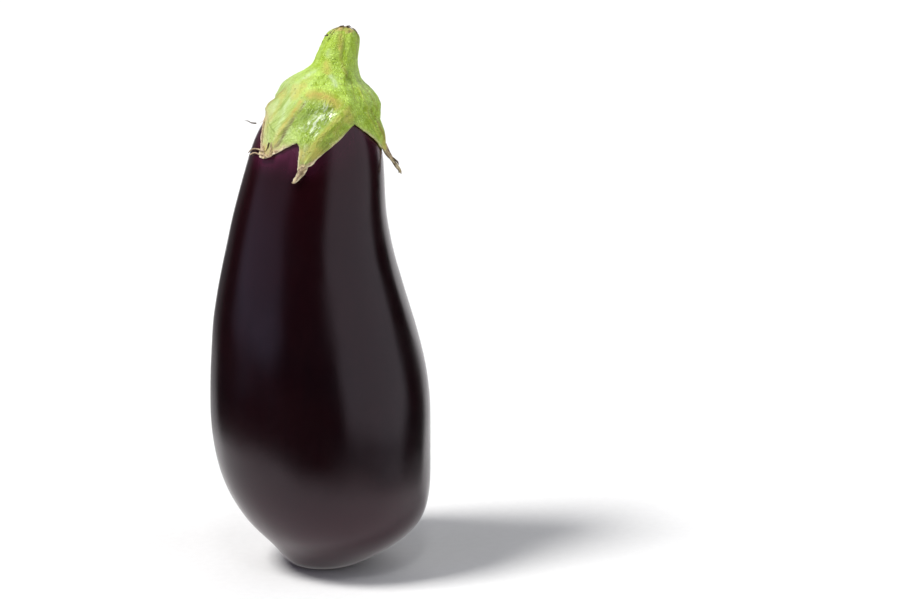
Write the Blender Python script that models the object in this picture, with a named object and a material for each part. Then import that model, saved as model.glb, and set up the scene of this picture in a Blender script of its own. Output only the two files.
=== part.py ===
"""A whole eggplant standing on its blossom end: the fruit, and the calyx with its cut stem.

Metres, +Z up. The origin is the middle of the small flat spot that the fruit rests on, and the
broad front sepal faces -Y. Angles round the fruit are in degrees, 0 at the front (-Y) and 90 at +X.
"""

from typing import NamedTuple

import bmesh
import bpy
import numpy as np

# Driving dimensions.
FRUIT_HEIGHT = 0.1985
BELLY_RADIUS = 0.0454
STEM_HEIGHT = 0.2205
SKIN_GAP = 0.0003

# The fruit's outline from the flat spot to the top under the stem: height over FRUIT_HEIGHT, then radius
# and the section's shift in x and y over BELLY_RADIUS. The belly hangs to one side and the neck bows back.
FRUIT_OUTLINE = (
    (0.000, 0.253, 0.000, 0.000),
    (0.005, 0.318, 0.020, 0.000),
    (0.024, 0.450, 0.068, 0.002),
    (0.054, 0.606, 0.120, 0.004),
    (0.097, 0.786, 0.124, 0.008),
    (0.151, 0.906, 0.080, 0.012),
    (0.237, 0.980, 0.020, 0.014),
    (0.343, 1.000, -0.002, 0.012),
    (0.443, 0.964, -0.020, 0.004),
    (0.544, 0.885, -0.058, -0.006),
    (0.645, 0.777, -0.077, -0.016),
    (0.746, 0.684, -0.066, -0.020),
    (0.846, 0.608, -0.018, -0.012),
    (0.907, 0.538, 0.012, 0.000),
    (0.947, 0.446, 0.038, 0.010),
    (0.977, 0.318, 0.056, 0.016),
    (0.994, 0.160, 0.072, 0.020),
    (1.000, 0.000, 0.078, 0.022),
)
# Slow swellings of the round section: waves round the fruit, share of the radius, and angle of a crest.
SECTION_WAVES = ((2, 0.010, 25.0), (3, 0.006, 70.0), (5, 0.002, 10.0))

FRUIT_RINGS = 44
FRUIT_SEGMENTS = 66

# The outside of the calyx from the cut end of the stem down to where it lies on the neck:
# height over STEM_HEIGHT, then radius and shift in x and y over BELLY_RADIUS.
CALYX_OUTLINE = (
    (1.000, 0.088, 0.246, 0.150),
    (0.995, 0.120, 0.240, 0.142),
    (0.984, 0.148, 0.226, 0.126),
    (0.966, 0.170, 0.200, 0.102),
    (0.950, 0.182, 0.180, 0.084),
    (0.937, 0.202, 0.158, 0.070),
    (0.926, 0.248, 0.114, 0.056),
    (0.912, 0.312, 0.070, 0.046),
    (0.890, 0.400, 0.082, 0.034),
    (0.874, 0.450, 0.078, 0.026),
    (0.858, 0.482, 0.068, 0.020),
    (0.838, 0.512, 0.052, 0.012),
    (0.803, 0.562, 0.016, 0.004),
)
# The stem is cut aslant: the cut falls by these slopes toward +X and +Y, and its middle swells up.
CUT_SLOPE_X = 0.06
CUT_SLOPE_Y = 0.38
CUT_SWELL = 0.0007
CUT_REACH = 0.065
# The whole calyx is twisted as it goes up, by this angle from the notches to the foot of the stem.
CALYX_TWIST = 26.0
TWIST_TO = 0.93


class Notch(NamedTuple):
    """Where two sepals part, and how deep the web between their ribs sinks above it."""

    angle: float
    height: float
    sink: float


class Sepal(NamedTuple):
    """The free lobe between its notch and the next one.

    rib is where its midrib stands, -1 at its notch and 1 at the next. blade is the share of its length
    that is leaf, the rest being a dry thread. lift is how far its tip stands off the skin and lift_from
    the share of its length where that begins. fullness shapes its two margins: 1 is straight, more is
    rounder.
    """

    name: str
    rib: float
    tip_angle: float
    tip_height: float
    tip_width: float
    blade: float
    lift: float
    lift_from: float
    left_fullness: float
    right_fullness: float


NOTCHES = (
    Notch(-88.0, 0.1905, 0.0004),
    Notch(-14.5, 0.1792, 0.0018),
    Notch(40.0, 0.1858, 0.0008),
    Notch(108.0, 0.1860, 0.0012),
    Notch(164.0, 0.1822, 0.0014),
    Notch(222.0, 0.1890, 0.0012),
)
SEPALS = (
    Sepal("left", 0.35, -50.0, 0.1722, 0.0056, 1.00, 0.0008, 0.50, 1.00, 1.00),
    Sepal("front", -0.20, -11.5, 0.1640, 0.0018, 0.93, 0.0006, 0.70, 0.70, 0.90),
    Sepal("right", 0.05, 88.0, 0.1640, 0.0014, 0.62, 0.0062, 0.42, 1.00, 0.85),
    Sepal("back_right", 0.10, 133.0, 0.1650, 0.0018, 0.90, 0.0014, 0.55, 0.95, 1.05),
    Sepal("back", -0.15, 190.0, 0.1618, 0.0018, 0.88, 0.0010, 0.55, 1.05, 0.90),
    Sepal("back_left", 0.00, 252.0, 0.1805, 0.0014, 0.72, 0.0050, 0.35, 0.90, 0.90),
)

CALYX_THICKNESS = 0.0012
EDGE_THICKNESS = 0.0008
LEAST_WALL = 0.0009
RIB_HEIGHT = 0.0013
RIB_WIDTH = 0.30
STEM_RIB_HEIGHT = 0.0006
EDGE_LIFT = 0.0004
EDGE_WAVES = 2.5
TIP_ROUND = 0.1

SEPAL_COLUMNS = 12
SEPAL_ROWS = 9
CALYX_RINGS = 22
LINING_RINGS = 7


def natural_spline(knots, values, places):
    """The smooth curve through rows of values at the knots (a natural cubic spline), read at the places."""
    gaps = np.diff(knots)
    slopes = np.diff(values, axis=0) / gaps[:, None]
    system = np.eye(len(knots))
    pull = np.zeros_like(values)
    for i in range(1, len(knots) - 1):
        system[i, i - 1 : i + 2] = gaps[i - 1], 2 * (gaps[i - 1] + gaps[i]), gaps[i]
        pull[i] = 6 * (slopes[i] - slopes[i - 1])
    bend = np.linalg.solve(system, pull)
    span = np.clip(np.searchsorted(knots, places, side="right") - 1, 0, len(knots) - 2)
    width = gaps[span][:, None]
    after = (places - knots[span])[:, None]
    before = width - after
    line = (values[span] * before + values[span + 1] * after) / width
    sag = bend[span] * (1 + before / width) + bend[span + 1] * (1 + after / width)
    return line - after * before / 6 * sag


def smooth_step(value):
    """0 below 0 and 1 above 1, with no corner between."""
    share = np.clip(value, 0.0, 1.0)
    return share * share * (3 - 2 * share)


def outline_rows(outline, height):
    """An outline's rows as metres: radius, height, shift in x, shift in y."""
    rows = np.array(outline)
    return np.column_stack(
        (
            rows[:, 1] * BELLY_RADIUS,
            rows[:, 0] * height,
            rows[:, 2] * BELLY_RADIUS,
            rows[:, 3] * BELLY_RADIUS,
        )
    )


def chord_lengths(rows):
    """How far each row is along the outline, from the first row."""
    return np.concatenate(([0], np.cumsum(np.hypot(*np.diff(rows[:, :2], axis=0).T))))


def fruit_curve():
    """(knots, rows, length) of the fruit's outline. It runs on past the top, so the top is round."""
    rows = outline_rows(FRUIT_OUTLINE, FRUIT_HEIGHT)
    over = 2 * rows[-1] - rows[-4:-1][::-1]
    over[:, 1] = rows[-4:-1][::-1, 1]
    knots = chord_lengths(np.vstack((rows, over)))
    return knots, np.vstack((rows, over)), knots[len(rows) - 1]


def fruit_profile(shares):
    """Radius, height, shift in x and in y, and the outline's normal, at shares of the outline's length."""
    knots, rows, length = fruit_curve()
    places = np.asarray(shares) * length
    here = natural_spline(knots, rows, places)
    step = 1e-4 * length
    ahead = natural_spline(knots, rows, places + step)
    behind = natural_spline(knots, rows, np.maximum(places - step, 0))
    run = ahead[:, :2] - behind[:, :2]
    run /= np.hypot(run[:, 0], run[:, 1])[:, None]
    normal = np.column_stack((run[:, 1], -run[:, 0]))
    return np.column_stack((here, normal))


PROFILE = fruit_profile(np.linspace(0, 1, 3001))
NECK = PROFILE[np.argmax(PROFILE[:, 0]) :]
CAP_ROWS = outline_rows(CALYX_OUTLINE, STEM_HEIGHT)[::-1]


def section_swell(angle, height):
    """The section's radius over its mean, at an angle in degrees. It is round at both ends of the fruit."""
    end = smooth_step(height / (0.2 * FRUIT_HEIGHT))
    top = smooth_step((FRUIT_HEIGHT - height) / (0.2 * FRUIT_HEIGHT))
    waves = sum(s * np.cos(np.radians(n * (angle - crest))) for n, s, crest in SECTION_WAVES)
    return 1 + waves * end * top


def placed(radius, height, shift_x, shift_y, angle):
    """Points at a radius from a shifted section's middle, at an angle in degrees."""
    turn = np.radians(angle)
    return np.stack(
        np.broadcast_arrays(
            shift_x + radius * np.sin(turn), shift_y - radius * np.cos(turn), height
        ),
        axis=-1,
    )


def on_skin(angle, height, off):
    """Points off the skin of the fruit's upper half, at an angle and a height."""
    order = NECK[:, 1]
    radius, shift_x, shift_y = (np.interp(height, order, NECK[:, i]) for i in (0, 2, 3))
    return placed(radius * section_swell(angle, height) + off, height, shift_x, shift_y, angle)


def over_skin(point, least):
    """The point, moved out smoothly where it is less than a distance off the skin of the fruit's upper half."""
    if point[2] > FRUIT_HEIGHT:
        return point
    radius, shift_x, shift_y = (np.interp(point[2], NECK[:, 1], NECK[:, i]) for i in (0, 2, 3))
    arm = point[:2] - (shift_x, shift_y)
    angle = np.degrees(np.arctan2(arm[0], -arm[1]))
    wanted = radius * section_swell(angle, point[2]) + least
    spare = np.hypot(*arm) - wanted
    clear = wanted + (spare + np.hypot(spare, 0.0003)) / 2
    return np.array((*(arm * clear / np.hypot(*arm) + (shift_x, shift_y)), point[2]))


def ring_faces(rings, count):
    """Quads between rings of vertex numbers, each ring closed on itself."""
    return [
        (a[i], a[(i + 1) % count], b[(i + 1) % count], b[i])
        for a, b in zip(rings, rings[1:])
        for i in range(count)
    ]


def solid_object(name, points, faces, material):
    """A closed, smooth-shaded mesh object with its faces pointing out."""
    mesh = bpy.data.meshes.new(name)
    mesh.from_pydata([tuple(p) for p in points], [], faces)
    shape = bmesh.new()
    shape.from_mesh(mesh)
    bmesh.ops.recalc_face_normals(shape, faces=shape.faces)
    bmesh.ops.triangulate(shape, faces=shape.faces)
    shape.to_mesh(mesh)
    shape.free()
    mesh.shade_smooth()
    mesh.materials.append(material)
    thing = bpy.data.objects.new(name, mesh)
    bpy.context.scene.collection.objects.link(thing)
    return thing


def surface_material(name, colour, roughness):
    """A plain Principled material."""
    material = bpy.data.materials.new(name)
    material.use_nodes = True
    shader = material.node_tree.nodes["Principled BSDF"]
    shader.inputs["Base Color"].default_value = (*colour, 1.0)
    shader.inputs["Roughness"].default_value = roughness
    shader.inputs["Metallic"].default_value = 0.0
    return material


def make_fruit():
    """The fleshy berry: one solid, flat where it rests, with its belly low and its neck slim."""
    shares = (np.arange(FRUIT_RINGS) / FRUIT_RINGS)[:, None]
    shares = shares + 0.018 * np.sin(2 * np.pi * shares)
    angles = np.arange(FRUIT_SEGMENTS) * 360 / FRUIT_SEGMENTS
    profile = fruit_profile(shares[:, 0])
    radius, height, shift_x, shift_y = (profile[:, i, None] for i in range(4))
    height[0] = 0.0
    radius = radius * section_swell(angles[None, :], height)
    points = placed(radius, height, shift_x, shift_y, angles[None, :]).reshape(-1, 3)
    top = fruit_profile([1.0])[0]
    foot = points[:FRUIT_SEGMENTS] * 0.85
    points = np.vstack((foot, points, [[0, 0, 0]], [[top[2], top[3], top[1]]]))
    rings = np.arange((FRUIT_RINGS + 1) * FRUIT_SEGMENTS).reshape(FRUIT_RINGS + 1, -1)
    faces = ring_faces(rings, FRUIT_SEGMENTS)
    bottom, apex = len(points) - 2, len(points) - 1
    first, last = rings[0], rings[-1]
    after = np.roll(np.arange(FRUIT_SEGMENTS), -1)
    faces += [(first[after[i]], first[i], bottom) for i in range(FRUIT_SEGMENTS)]
    faces += [(last[i], last[after[i]], apex) for i in range(FRUIT_SEGMENTS)]
    skin = surface_material("eggplant_skin", (0.016, 0.005, 0.010), 0.16)
    return solid_object("fruit", points, [tuple(map(int, f)) for f in faces], skin)


def calyx_columns():
    """For each column of the calyx's mesh, going round: its sepal's number and its place across it, -1 to 1."""
    across = np.linspace(-1, 1, SEPAL_COLUMNS + 1)[:-1]
    return [(k, s) for k in range(len(SEPALS)) for s in across]


def notch_line(sepal, across):
    """Angle and height of the line through the notches, at a place across a sepal."""
    left = NOTCHES[sepal]
    right = NOTCHES[(sepal + 1) % len(NOTCHES)]
    share = (across + 1) / 2
    turn = (right.angle - left.angle) % 360
    return left.angle + turn * share, left.height + (right.height - left.height) * share


def rib_place(sepal, across):
    """A place across a sepal measured from its midrib: 0 on the rib, -1 and 1 at the notches."""
    rib = SEPALS[sepal].rib
    return np.where(across < rib, (across - rib) / (1 + rib), (across - rib) / (1 - rib))


def relief(sepal, across, along):
    """How far the outside stands above CALYX_THICKNESS: a rib down the sepal, webs sunk beside it.

    along is 0 on the notch line and 1 at the tip.
    """
    place = rib_place(sepal, across)
    rib = RIB_HEIGHT * np.exp(-((place / RIB_WIDTH) ** 2)) * (1 - 0.6 * along)
    sink = np.where(place < 0, NOTCHES[sepal].sink, NOTCHES[(sepal + 1) % len(NOTCHES)].sink)
    return rib, sink * smooth_step((np.abs(place) - 0.25) / 0.6)


def sepal_sheet(sepal, across, along):
    """Angle, height and stand-off of the sheet's inner side, at places across and along a free lobe."""
    shape = SEPALS[sepal]
    left_angle, left_height = notch_line(sepal, -1.0)
    right_angle, right_height = notch_line(sepal, 1.0)
    half_tip = np.degrees(0.5 * shape.tip_width / (0.6 * BELLY_RADIUS))
    blade = np.clip(along / shape.blade, 0, 1)
    left = left_angle + (shape.tip_angle - half_tip - left_angle) * blade**shape.left_fullness
    right = right_angle + (shape.tip_angle + half_tip - right_angle) * blade**shape.right_fullness
    share = (across + 1) / 2
    angle = left + (right - left) * share
    start = left_height + (right_height - left_height) * share
    round_end = TIP_ROUND * shape.tip_width * across**2 * along**4
    height = start + (shape.tip_height - start) * along + round_end
    lift = shape.lift * smooth_step((along - shape.lift_from) / (1 - shape.lift_from)) ** 1.5
    wave = 0.5 + 0.5 * np.sin(2 * np.pi * EDGE_WAVES * along + 2.1 * sepal + across)
    edge = EDGE_LIFT * wave * across**4 * smooth_step(along / 0.25)
    return angle, height, lift + edge


def sepal_side(sepal, inner):
    """The points of a free lobe's inner or outer side, as rows from the notch line to the tip."""
    across, along = np.meshgrid(
        np.linspace(-1, 1, SEPAL_COLUMNS + 1), np.arange(1, SEPAL_ROWS + 1) / SEPAL_ROWS
    )
    angle, height, off = sepal_sheet(sepal, across, along)
    off = off + SKIN_GAP
    if not inner:
        rib, _ = relief(sepal, across, along)
        thin = smooth_step(along) * (CALYX_THICKNESS - EDGE_THICKNESS)
        off = off + CALYX_THICKNESS - thin + rib
    return on_skin(angle, height, off)


def cap_point(sepal, across, share):
    """A point of the calyx's outside above the notch line. share is 0 at the cut end and 1 on the line."""
    line_angle, line_height = notch_line(sepal, across)
    height = STEM_HEIGHT + (line_height - STEM_HEIGHT) * share
    radius, shift_x, shift_y = natural_spline(CAP_ROWS[:, 1], CAP_ROWS[:, [0, 2, 3]], np.array([height]))[0]
    level = height / STEM_HEIGHT
    line_level = line_height / STEM_HEIGHT
    untwisted = np.clip((TWIST_TO - level) / (TWIST_TO - line_level), 0, 1)
    angle = line_angle + CALYX_TWIST * (1 - untwisted**2)
    up = smooth_step((level - 0.90) / 0.05)
    rib, sink = relief(sepal, across, 0.0)
    sink = sink * smooth_step((0.880 - level) / 0.02) * smooth_step((level - 0.815) / 0.03)
    stem_rib = STEM_RIB_HEIGHT * (np.exp(-((rib_place(sepal, across) / 0.45) ** 2)) - 0.4)
    free = placed(radius + stem_rib * up + (rib - sink) * (1 - up), height, shift_x, shift_y, angle)
    free = over_skin(free, SKIN_GAP + LEAST_WALL)
    lying = on_skin(angle, height, SKIN_GAP + CALYX_THICKNESS + rib)
    settle = smooth_step((share - 0.82) / 0.18)
    point = free * (1 - settle) + lying * settle
    cut = smooth_step((level - 1 + CUT_REACH) / CUT_REACH)
    point[2] -= cut * (CUT_SLOPE_X * (point[0] - shift_x) + CUT_SLOPE_Y * (point[1] - shift_y))
    return point


def cap_rings(columns):
    """The calyx's outside above the notch line, from the rim of the cut to the line."""
    shares = np.linspace(0, 1, CALYX_RINGS + 1)
    return [[cap_point(k, s, share) for k, s in columns] for share in shares]


def lining_rings(columns):
    """The calyx's inside above the notch line: it follows the top of the fruit at SKIN_GAP."""
    lines = [notch_line(k, s) for k, s in columns]
    starts = [np.interp(height, NECK[:, 1], np.linspace(0, 1, len(NECK))) for _, height in lines]
    rings = []
    for share in np.linspace(0, 1, LINING_RINGS + 1)[:-1]:
        ring = []
        for (angle, height), start in zip(lines, starts):
            place = start + (1 - start) * share
            row = [np.interp(place, np.linspace(0, 1, len(NECK)), NECK[:, i]) for i in range(6)]
            radius = row[0] * section_swell(angle, row[1]) + SKIN_GAP * row[4]
            ring.append(placed(radius, row[1] + SKIN_GAP * row[5], row[2], row[3], angle))
        rings.append(ring)
    return rings


class MeshParts:
    """Points and faces gathered piece by piece."""

    def __init__(self):
        self.points = []
        self.faces = []

    def add(self, points):
        """Adds points and gives their numbers."""
        first = len(self.points)
        self.points.extend(points)
        return list(range(first, len(self.points)))


def add_stem_end(parts, rim):
    """Closes the cut end of the stem with a slightly swollen face inside its rim."""
    rim_points = np.array([parts.points[i] for i in rim])
    middle = rim_points.mean(axis=0)
    outer = rim
    for share in (0.66, 0.33):
        ring = middle + (rim_points - middle) * share + (0, 0, CUT_SWELL * (1 - share**2))
        inner = parts.add(ring)
        parts.faces += ring_faces([inner, outer], len(rim))
        outer = inner
    centre = parts.add([middle + (0, 0, CUT_SWELL)])[0]
    parts.faces += [(outer[(i + 1) % len(rim)], outer[i], centre) for i in range(len(rim))]


def add_sepal(parts, sepal, outer_start, inner_start):
    """Adds one free lobe below the notch line: outer side, inner side, and the margin that joins them.

    Both sides are split along the same diagonals, so the thin sheet never crosses itself.
    """
    outer = [outer_start] + [parts.add(row) for row in sepal_side(sepal, inner=False)]
    inner = [inner_start] + [parts.add(row) for row in sepal_side(sepal, inner=True)]
    for a, b, c, d in zip(outer, outer[1:], inner, inner[1:]):
        for i in range(SEPAL_COLUMNS):
            parts.faces += [(a[i], a[i + 1], b[i + 1]), (a[i], b[i + 1], b[i])]
            parts.faces += [(c[i + 1], c[i], d[i + 1]), (c[i], d[i], d[i + 1])]
        parts.faces.append((a[0], b[0], d[0], c[0]))
        parts.faces.append((b[-1], a[-1], c[-1], d[-1]))
    tip, under = outer[-1], inner[-1]
    parts.faces += [(tip[i], tip[i + 1], under[i + 1], under[i]) for i in range(SEPAL_COLUMNS)]


def make_calyx():
    """The calyx and the stem it grew on: one solid cap over the fruit's neck, parted into pointed sepals."""
    columns = calyx_columns()
    parts = MeshParts()
    rings = [parts.add(ring) for ring in cap_rings(columns)]
    parts.faces += ring_faces(rings, len(columns))
    add_stem_end(parts, rings[0])
    lining = [parts.add(ring) for ring in lining_rings(columns)]
    parts.faces += ring_faces(lining, len(columns))
    top = NECK[-1]
    apex = parts.add([(top[2], top[3], top[1] + SKIN_GAP)])[0]
    last = lining[-1]
    parts.faces += [(last[(i + 1) % len(last)], last[i], apex) for i in range(len(last))]
    for sepal in range(len(SEPALS)):
        across = [(sepal * SEPAL_COLUMNS + i) % len(columns) for i in range(SEPAL_COLUMNS + 1)]
        add_sepal(parts, sepal, [rings[-1][i] for i in across], [lining[0][i] for i in across])
    green = surface_material("calyx_green", (0.33, 0.47, 0.07), 0.42)
    faces = [tuple(map(int, f)) for f in parts.faces]
    return solid_object("calyx_and_stem", parts.points, faces, green)


def main():
    """Clears the scene and builds the two pieces."""
    for thing in list(bpy.data.objects):
        bpy.data.objects.remove(thing, do_unlink=True)
    make_fruit()
    make_calyx()


main()
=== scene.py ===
"""A whole eggplant standing on its blossom end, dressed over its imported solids.

Metres, +Z up, the broad front sepal toward -Y. Angles round the fruit are in degrees, 0 at the front
and 90 at +X. The skin and the calyx are finer pieces of the solids' own outlines, with the relief, the
dry margins and the threads that the solids leave out. Points are rows of x, y and z. A pair whose name
ends in from is where a step starts, and how far it runs.
"""

import logging
from dataclasses import asdict, dataclass, field
from enum import Enum

import bpy
import numpy as np
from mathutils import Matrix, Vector, kdtree, noise

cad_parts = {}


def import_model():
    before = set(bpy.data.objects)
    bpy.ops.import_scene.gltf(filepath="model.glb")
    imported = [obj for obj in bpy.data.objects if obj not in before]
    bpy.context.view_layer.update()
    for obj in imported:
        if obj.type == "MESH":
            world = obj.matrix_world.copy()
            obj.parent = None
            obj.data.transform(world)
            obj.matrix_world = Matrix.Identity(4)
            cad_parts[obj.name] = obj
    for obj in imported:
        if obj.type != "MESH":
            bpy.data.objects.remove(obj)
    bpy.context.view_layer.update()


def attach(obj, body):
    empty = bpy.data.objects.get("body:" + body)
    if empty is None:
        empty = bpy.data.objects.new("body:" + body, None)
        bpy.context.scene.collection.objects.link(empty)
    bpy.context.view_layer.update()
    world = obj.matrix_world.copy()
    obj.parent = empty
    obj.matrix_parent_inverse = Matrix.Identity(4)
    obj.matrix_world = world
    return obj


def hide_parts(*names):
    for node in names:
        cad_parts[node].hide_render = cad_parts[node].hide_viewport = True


LOG = logging.getLogger("eggplant")
MILLIMETRE = 0.001
Array = np.ndarray
Socket = bpy.types.NodeSocket
Material = bpy.types.Material
Tree = bpy.types.NodeTree

FRUIT_HEIGHT = 0.1985
BELLY_RADIUS = 0.0454
STEM_HEIGHT = 0.2205

# Height over FRUIT_HEIGHT, then radius and the section's shift in x and y over BELLY_RADIUS.
FRUIT_OUTLINE = (
    (0.000, 0.253, 0.000, 0.000),
    (0.005, 0.318, 0.020, 0.000),
    (0.024, 0.450, 0.068, 0.002),
    (0.054, 0.606, 0.120, 0.004),
    (0.097, 0.786, 0.124, 0.008),
    (0.151, 0.906, 0.080, 0.012),
    (0.237, 0.980, 0.020, 0.014),
    (0.343, 1.000, -0.002, 0.012),
    (0.443, 0.964, -0.020, 0.004),
    (0.544, 0.885, -0.058, -0.006),
    (0.645, 0.777, -0.077, -0.016),
    (0.746, 0.684, -0.066, -0.020),
    (0.846, 0.608, -0.018, -0.012),
    (0.907, 0.538, 0.012, 0.000),
    (0.947, 0.446, 0.038, 0.010),
    (0.977, 0.318, 0.056, 0.016),
    (0.994, 0.160, 0.072, 0.020),
    (1.000, 0.000, 0.078, 0.022),
)
# Waves round the fruit, share of the radius, angle of a crest.
SECTION_WAVES = ((2, 0.010, 25.0), (3, 0.006, 70.0), (5, 0.002, 10.0))

# Height over STEM_HEIGHT, then radius and shift in x and y over BELLY_RADIUS.
CALYX_OUTLINE = (
    (1.000, 0.088, 0.246, 0.150),
    (0.995, 0.120, 0.240, 0.142),
    (0.984, 0.148, 0.226, 0.126),
    (0.966, 0.170, 0.200, 0.102),
    (0.950, 0.182, 0.180, 0.084),
    (0.937, 0.202, 0.158, 0.070),
    (0.926, 0.248, 0.114, 0.056),
    (0.912, 0.312, 0.070, 0.046),
    (0.890, 0.400, 0.082, 0.034),
    (0.874, 0.450, 0.078, 0.026),
    (0.858, 0.482, 0.068, 0.020),
    (0.838, 0.512, 0.052, 0.012),
    (0.803, 0.562, 0.016, 0.004),
)


class Slot(Enum):
    """The material slots, which name the skin's and the calyx's finishes."""

    SKIN = "eggplant_skin"
    CALYX = "calyx_green"


@dataclass(frozen=True)
class Notch:
    """Where two sepals part: angle, height, and how deep the web above it sinks."""

    angle: float
    height: float
    sink: float


@dataclass(frozen=True)
class Sepal:
    """A free lobe.

    Its midrib stands at rib across it, -1 to 1. Its margins close in to the tip's width at blade, a share
    of its length. It lifts off the skin from lift_from on, and has begun to dry at dry_from. Each margin
    has a fullness, and bends: places along it, and how many degrees it stands aside there.
    """

    name: str
    rib: float
    tip_angle: float
    tip_height: float
    tip_width: float
    blade: float
    lift: float
    lift_from: float
    dry_from: float
    left_fullness: float
    right_fullness: float
    left_bends: tuple = ((0, 0), (1, 0))
    right_bends: tuple = ((0, 0), (1, 0))


NOTCHES = (
    Notch(-88, 0.1905, 0.0004),
    Notch(-14.5, 0.1792, 0.0018),
    Notch(40, 0.1858, 0.0008),
    Notch(108, 0.1860, 0.0003),
    Notch(164, 0.1822, 0.0014),
    Notch(222, 0.1890, 0.0012),
)
SEPALS = (
    Sepal("left", 0.35, -44.5, 0.1724, 0.0044, 1.00, 0.0008, 0.50, 0.86, 0.55, 0.88),
    Sepal(
        "front", -0.20, -11.5, 0.1640, 0.0018, 0.93, 0.0006, 0.70, 0.50, 0.70, 0.90,
        (
            (0, 0), (0.10, 2.2), (0.3, 2.9), (0.6, 2.7), (0.66, 2.0), (0.72, 2.9), (0.8, 2.0),
            (0.84, 2.3), (0.93, 0.6), (1, -0.3),
        ),
        (
            (0, 0), (0.2, -1.0), (0.36, -2.2), (0.5, -3.3), (0.58, -3.1), (0.66, -1.7), (0.695, -1.8),
            (0.72, -3.7), (0.8, -0.2), (0.87, 1.2), (0.94, 1.4), (1, -0.6),
        ),
    ),
    Sepal("right", 0.05, 88.0, 0.1640, 0.0014, 0.62, 0.0057, 0.42, 0.50, 1.00, 0.85),
    Sepal("back_right", 0.10, 133.0, 0.1650, 0.0018, 0.90, 0.0014, 0.55, 0.74, 0.95, 1.05),
    Sepal("back", -0.15, 190.0, 0.1618, 0.0018, 0.88, 0.0010, 0.55, 0.72, 1.05, 0.90),
    Sepal("back_left", 0.00, 238.0, 0.1806, 0.0010, 0.80, 0.0008, 0.50, 0.50, 1.00, 1.00),
)
FRONT_SEPAL = [sepal.name for sepal in SEPALS].index("front")


def natural_spline(knots: Array, values: Array, places: Array) -> Array:
    """The smooth curve through rows of values at the knots.

    Args:
        knots: Rising places of the rows.
        values: One row of values for each knot.
        places: Where the curve is read.

    Returns:
        One row of values for each place.
    """
    gaps = np.diff(knots)
    slopes = np.diff(values, axis=0) / gaps[:, None]
    system = np.eye(len(knots))
    pull = np.zeros_like(values)
    for i in range(1, len(knots) - 1):
        system[i, i - 1 : i + 2] = gaps[i - 1], 2 * (gaps[i - 1] + gaps[i]), gaps[i]
        pull[i] = 6 * (slopes[i] - slopes[i - 1])
    bend = np.linalg.solve(system, pull)
    span = np.clip(np.searchsorted(knots, places, side="right") - 1, 0, len(knots) - 2)
    width = gaps[span][:, None]
    after = (places - knots[span])[:, None]
    before = width - after
    line = (values[span] * before + values[span + 1] * after) / width
    sag = bend[span] * (1 + before / width) + bend[span + 1] * (1 + after / width)
    return line - after * before / 6 * sag


def smooth_line(points: tuple, steps: int) -> Array:
    """A number of points in metres, along the smooth curve through a few in millimetres."""
    knots = np.arange(len(points), dtype=float)
    return natural_spline(knots, np.array(points) * MILLIMETRE, np.linspace(0, len(points) - 1, steps))


def smooth_step(value: Array) -> Array:
    """0 below 0 and 1 above 1, with no corner between."""
    share = np.clip(value, 0.0, 1.0)
    return share * share * (3 - 2 * share)


def step_from(value: Array, start: float, reach: float) -> Array:
    """0 up to a start and 1 from a reach beyond it. A reach below 0 runs down from the start."""
    return smooth_step((value - start) / reach)


def outline_rows(outline: tuple, height: float) -> Array:
    """An outline's rows as metres: radius, height, shift in x, shift in y."""
    rows = np.array(outline)
    return np.column_stack((rows[:, 1] * BELLY_RADIUS, rows[:, 0] * height, rows[:, 2:] * BELLY_RADIUS))


def placed(
    radius: Array, height: Array, shift_x: Array, shift_y: Array, angle: Array
) -> Array:
    """Points round the middles of shifted level sections.

    Args:
        radius: How far they are from the middle.
        height: Their heights.
        shift_x: The middle's x.
        shift_y: The middle's y.
        angle: Degrees round it, 0 at the front.

    Returns:
        The points, with x, y and z last.
    """
    turn = np.radians(angle)
    x = shift_x + radius * np.sin(turn)
    y = shift_y - radius * np.cos(turn)
    return np.stack(np.broadcast_arrays(x, y, height), axis=-1)


@dataclass(frozen=True)
class SoftNoise:
    """Smooth seeded noise: metres from one swelling to the next, its seed, and how many layers it has."""

    size: float
    seed: float
    layers: int = 1
    seed_shift: tuple = (17.3, -9.1, 5.7)

    def at(self, points: Array) -> Array:
        """Reads the noise.

        Args:
            points: Where it is read.

        Returns:
            One value for each point, mostly between -1 and 1.
        """
        shift = Vector([step * self.seed for step in self.seed_shift])
        found = np.zeros(len(points))
        for layer in range(self.layers):
            scale = 2**layer / self.size
            values = [noise.noise(Vector(p) * scale + shift) for p in points]
            found += np.array(values) / 2**layer
        return found


def distance_to_line(points: Array, line: Array) -> tuple[Array, Array]:
    """How far points are from a line of joined points.

    Args:
        points: The points.
        line: The line's points.

    Returns:
        The distances, and the share of the line's length at each nearest place.
    """
    lengths = np.linalg.norm(np.diff(line, axis=0), axis=1)
    starts = np.concatenate(([0], np.cumsum(lengths)))
    best = np.full(len(points), np.inf)
    share = np.zeros(len(points))
    for i, (a, b) in enumerate(zip(line, line[1:])):
        along = np.clip(((points - a) @ (b - a)) / lengths[i] ** 2, 0, 1)
        gap = np.linalg.norm(points - (a + along[:, None] * (b - a)), axis=1)
        nearer = gap < best
        best = np.where(nearer, gap, best)
        share = np.where(nearer, (starts[i] + along * lengths[i]) / starts[-1], share)
    return best, share


def nearest_gaps(points: Array, targets: Array, wanted: Array) -> Array:
    """How far points are from the nearest of some targets.

    Args:
        points: The points.
        targets: The targets.
        wanted: True for each point that is measured.

    Returns:
        The distances, without end for the points that aren't measured.
    """
    tree = kdtree.KDTree(len(targets))
    for i, place in enumerate(targets):
        tree.insert(place, i)
    tree.balance()
    return np.array([tree.find(place)[2] if use else np.inf for place, use in zip(points, wanted)])


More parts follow.
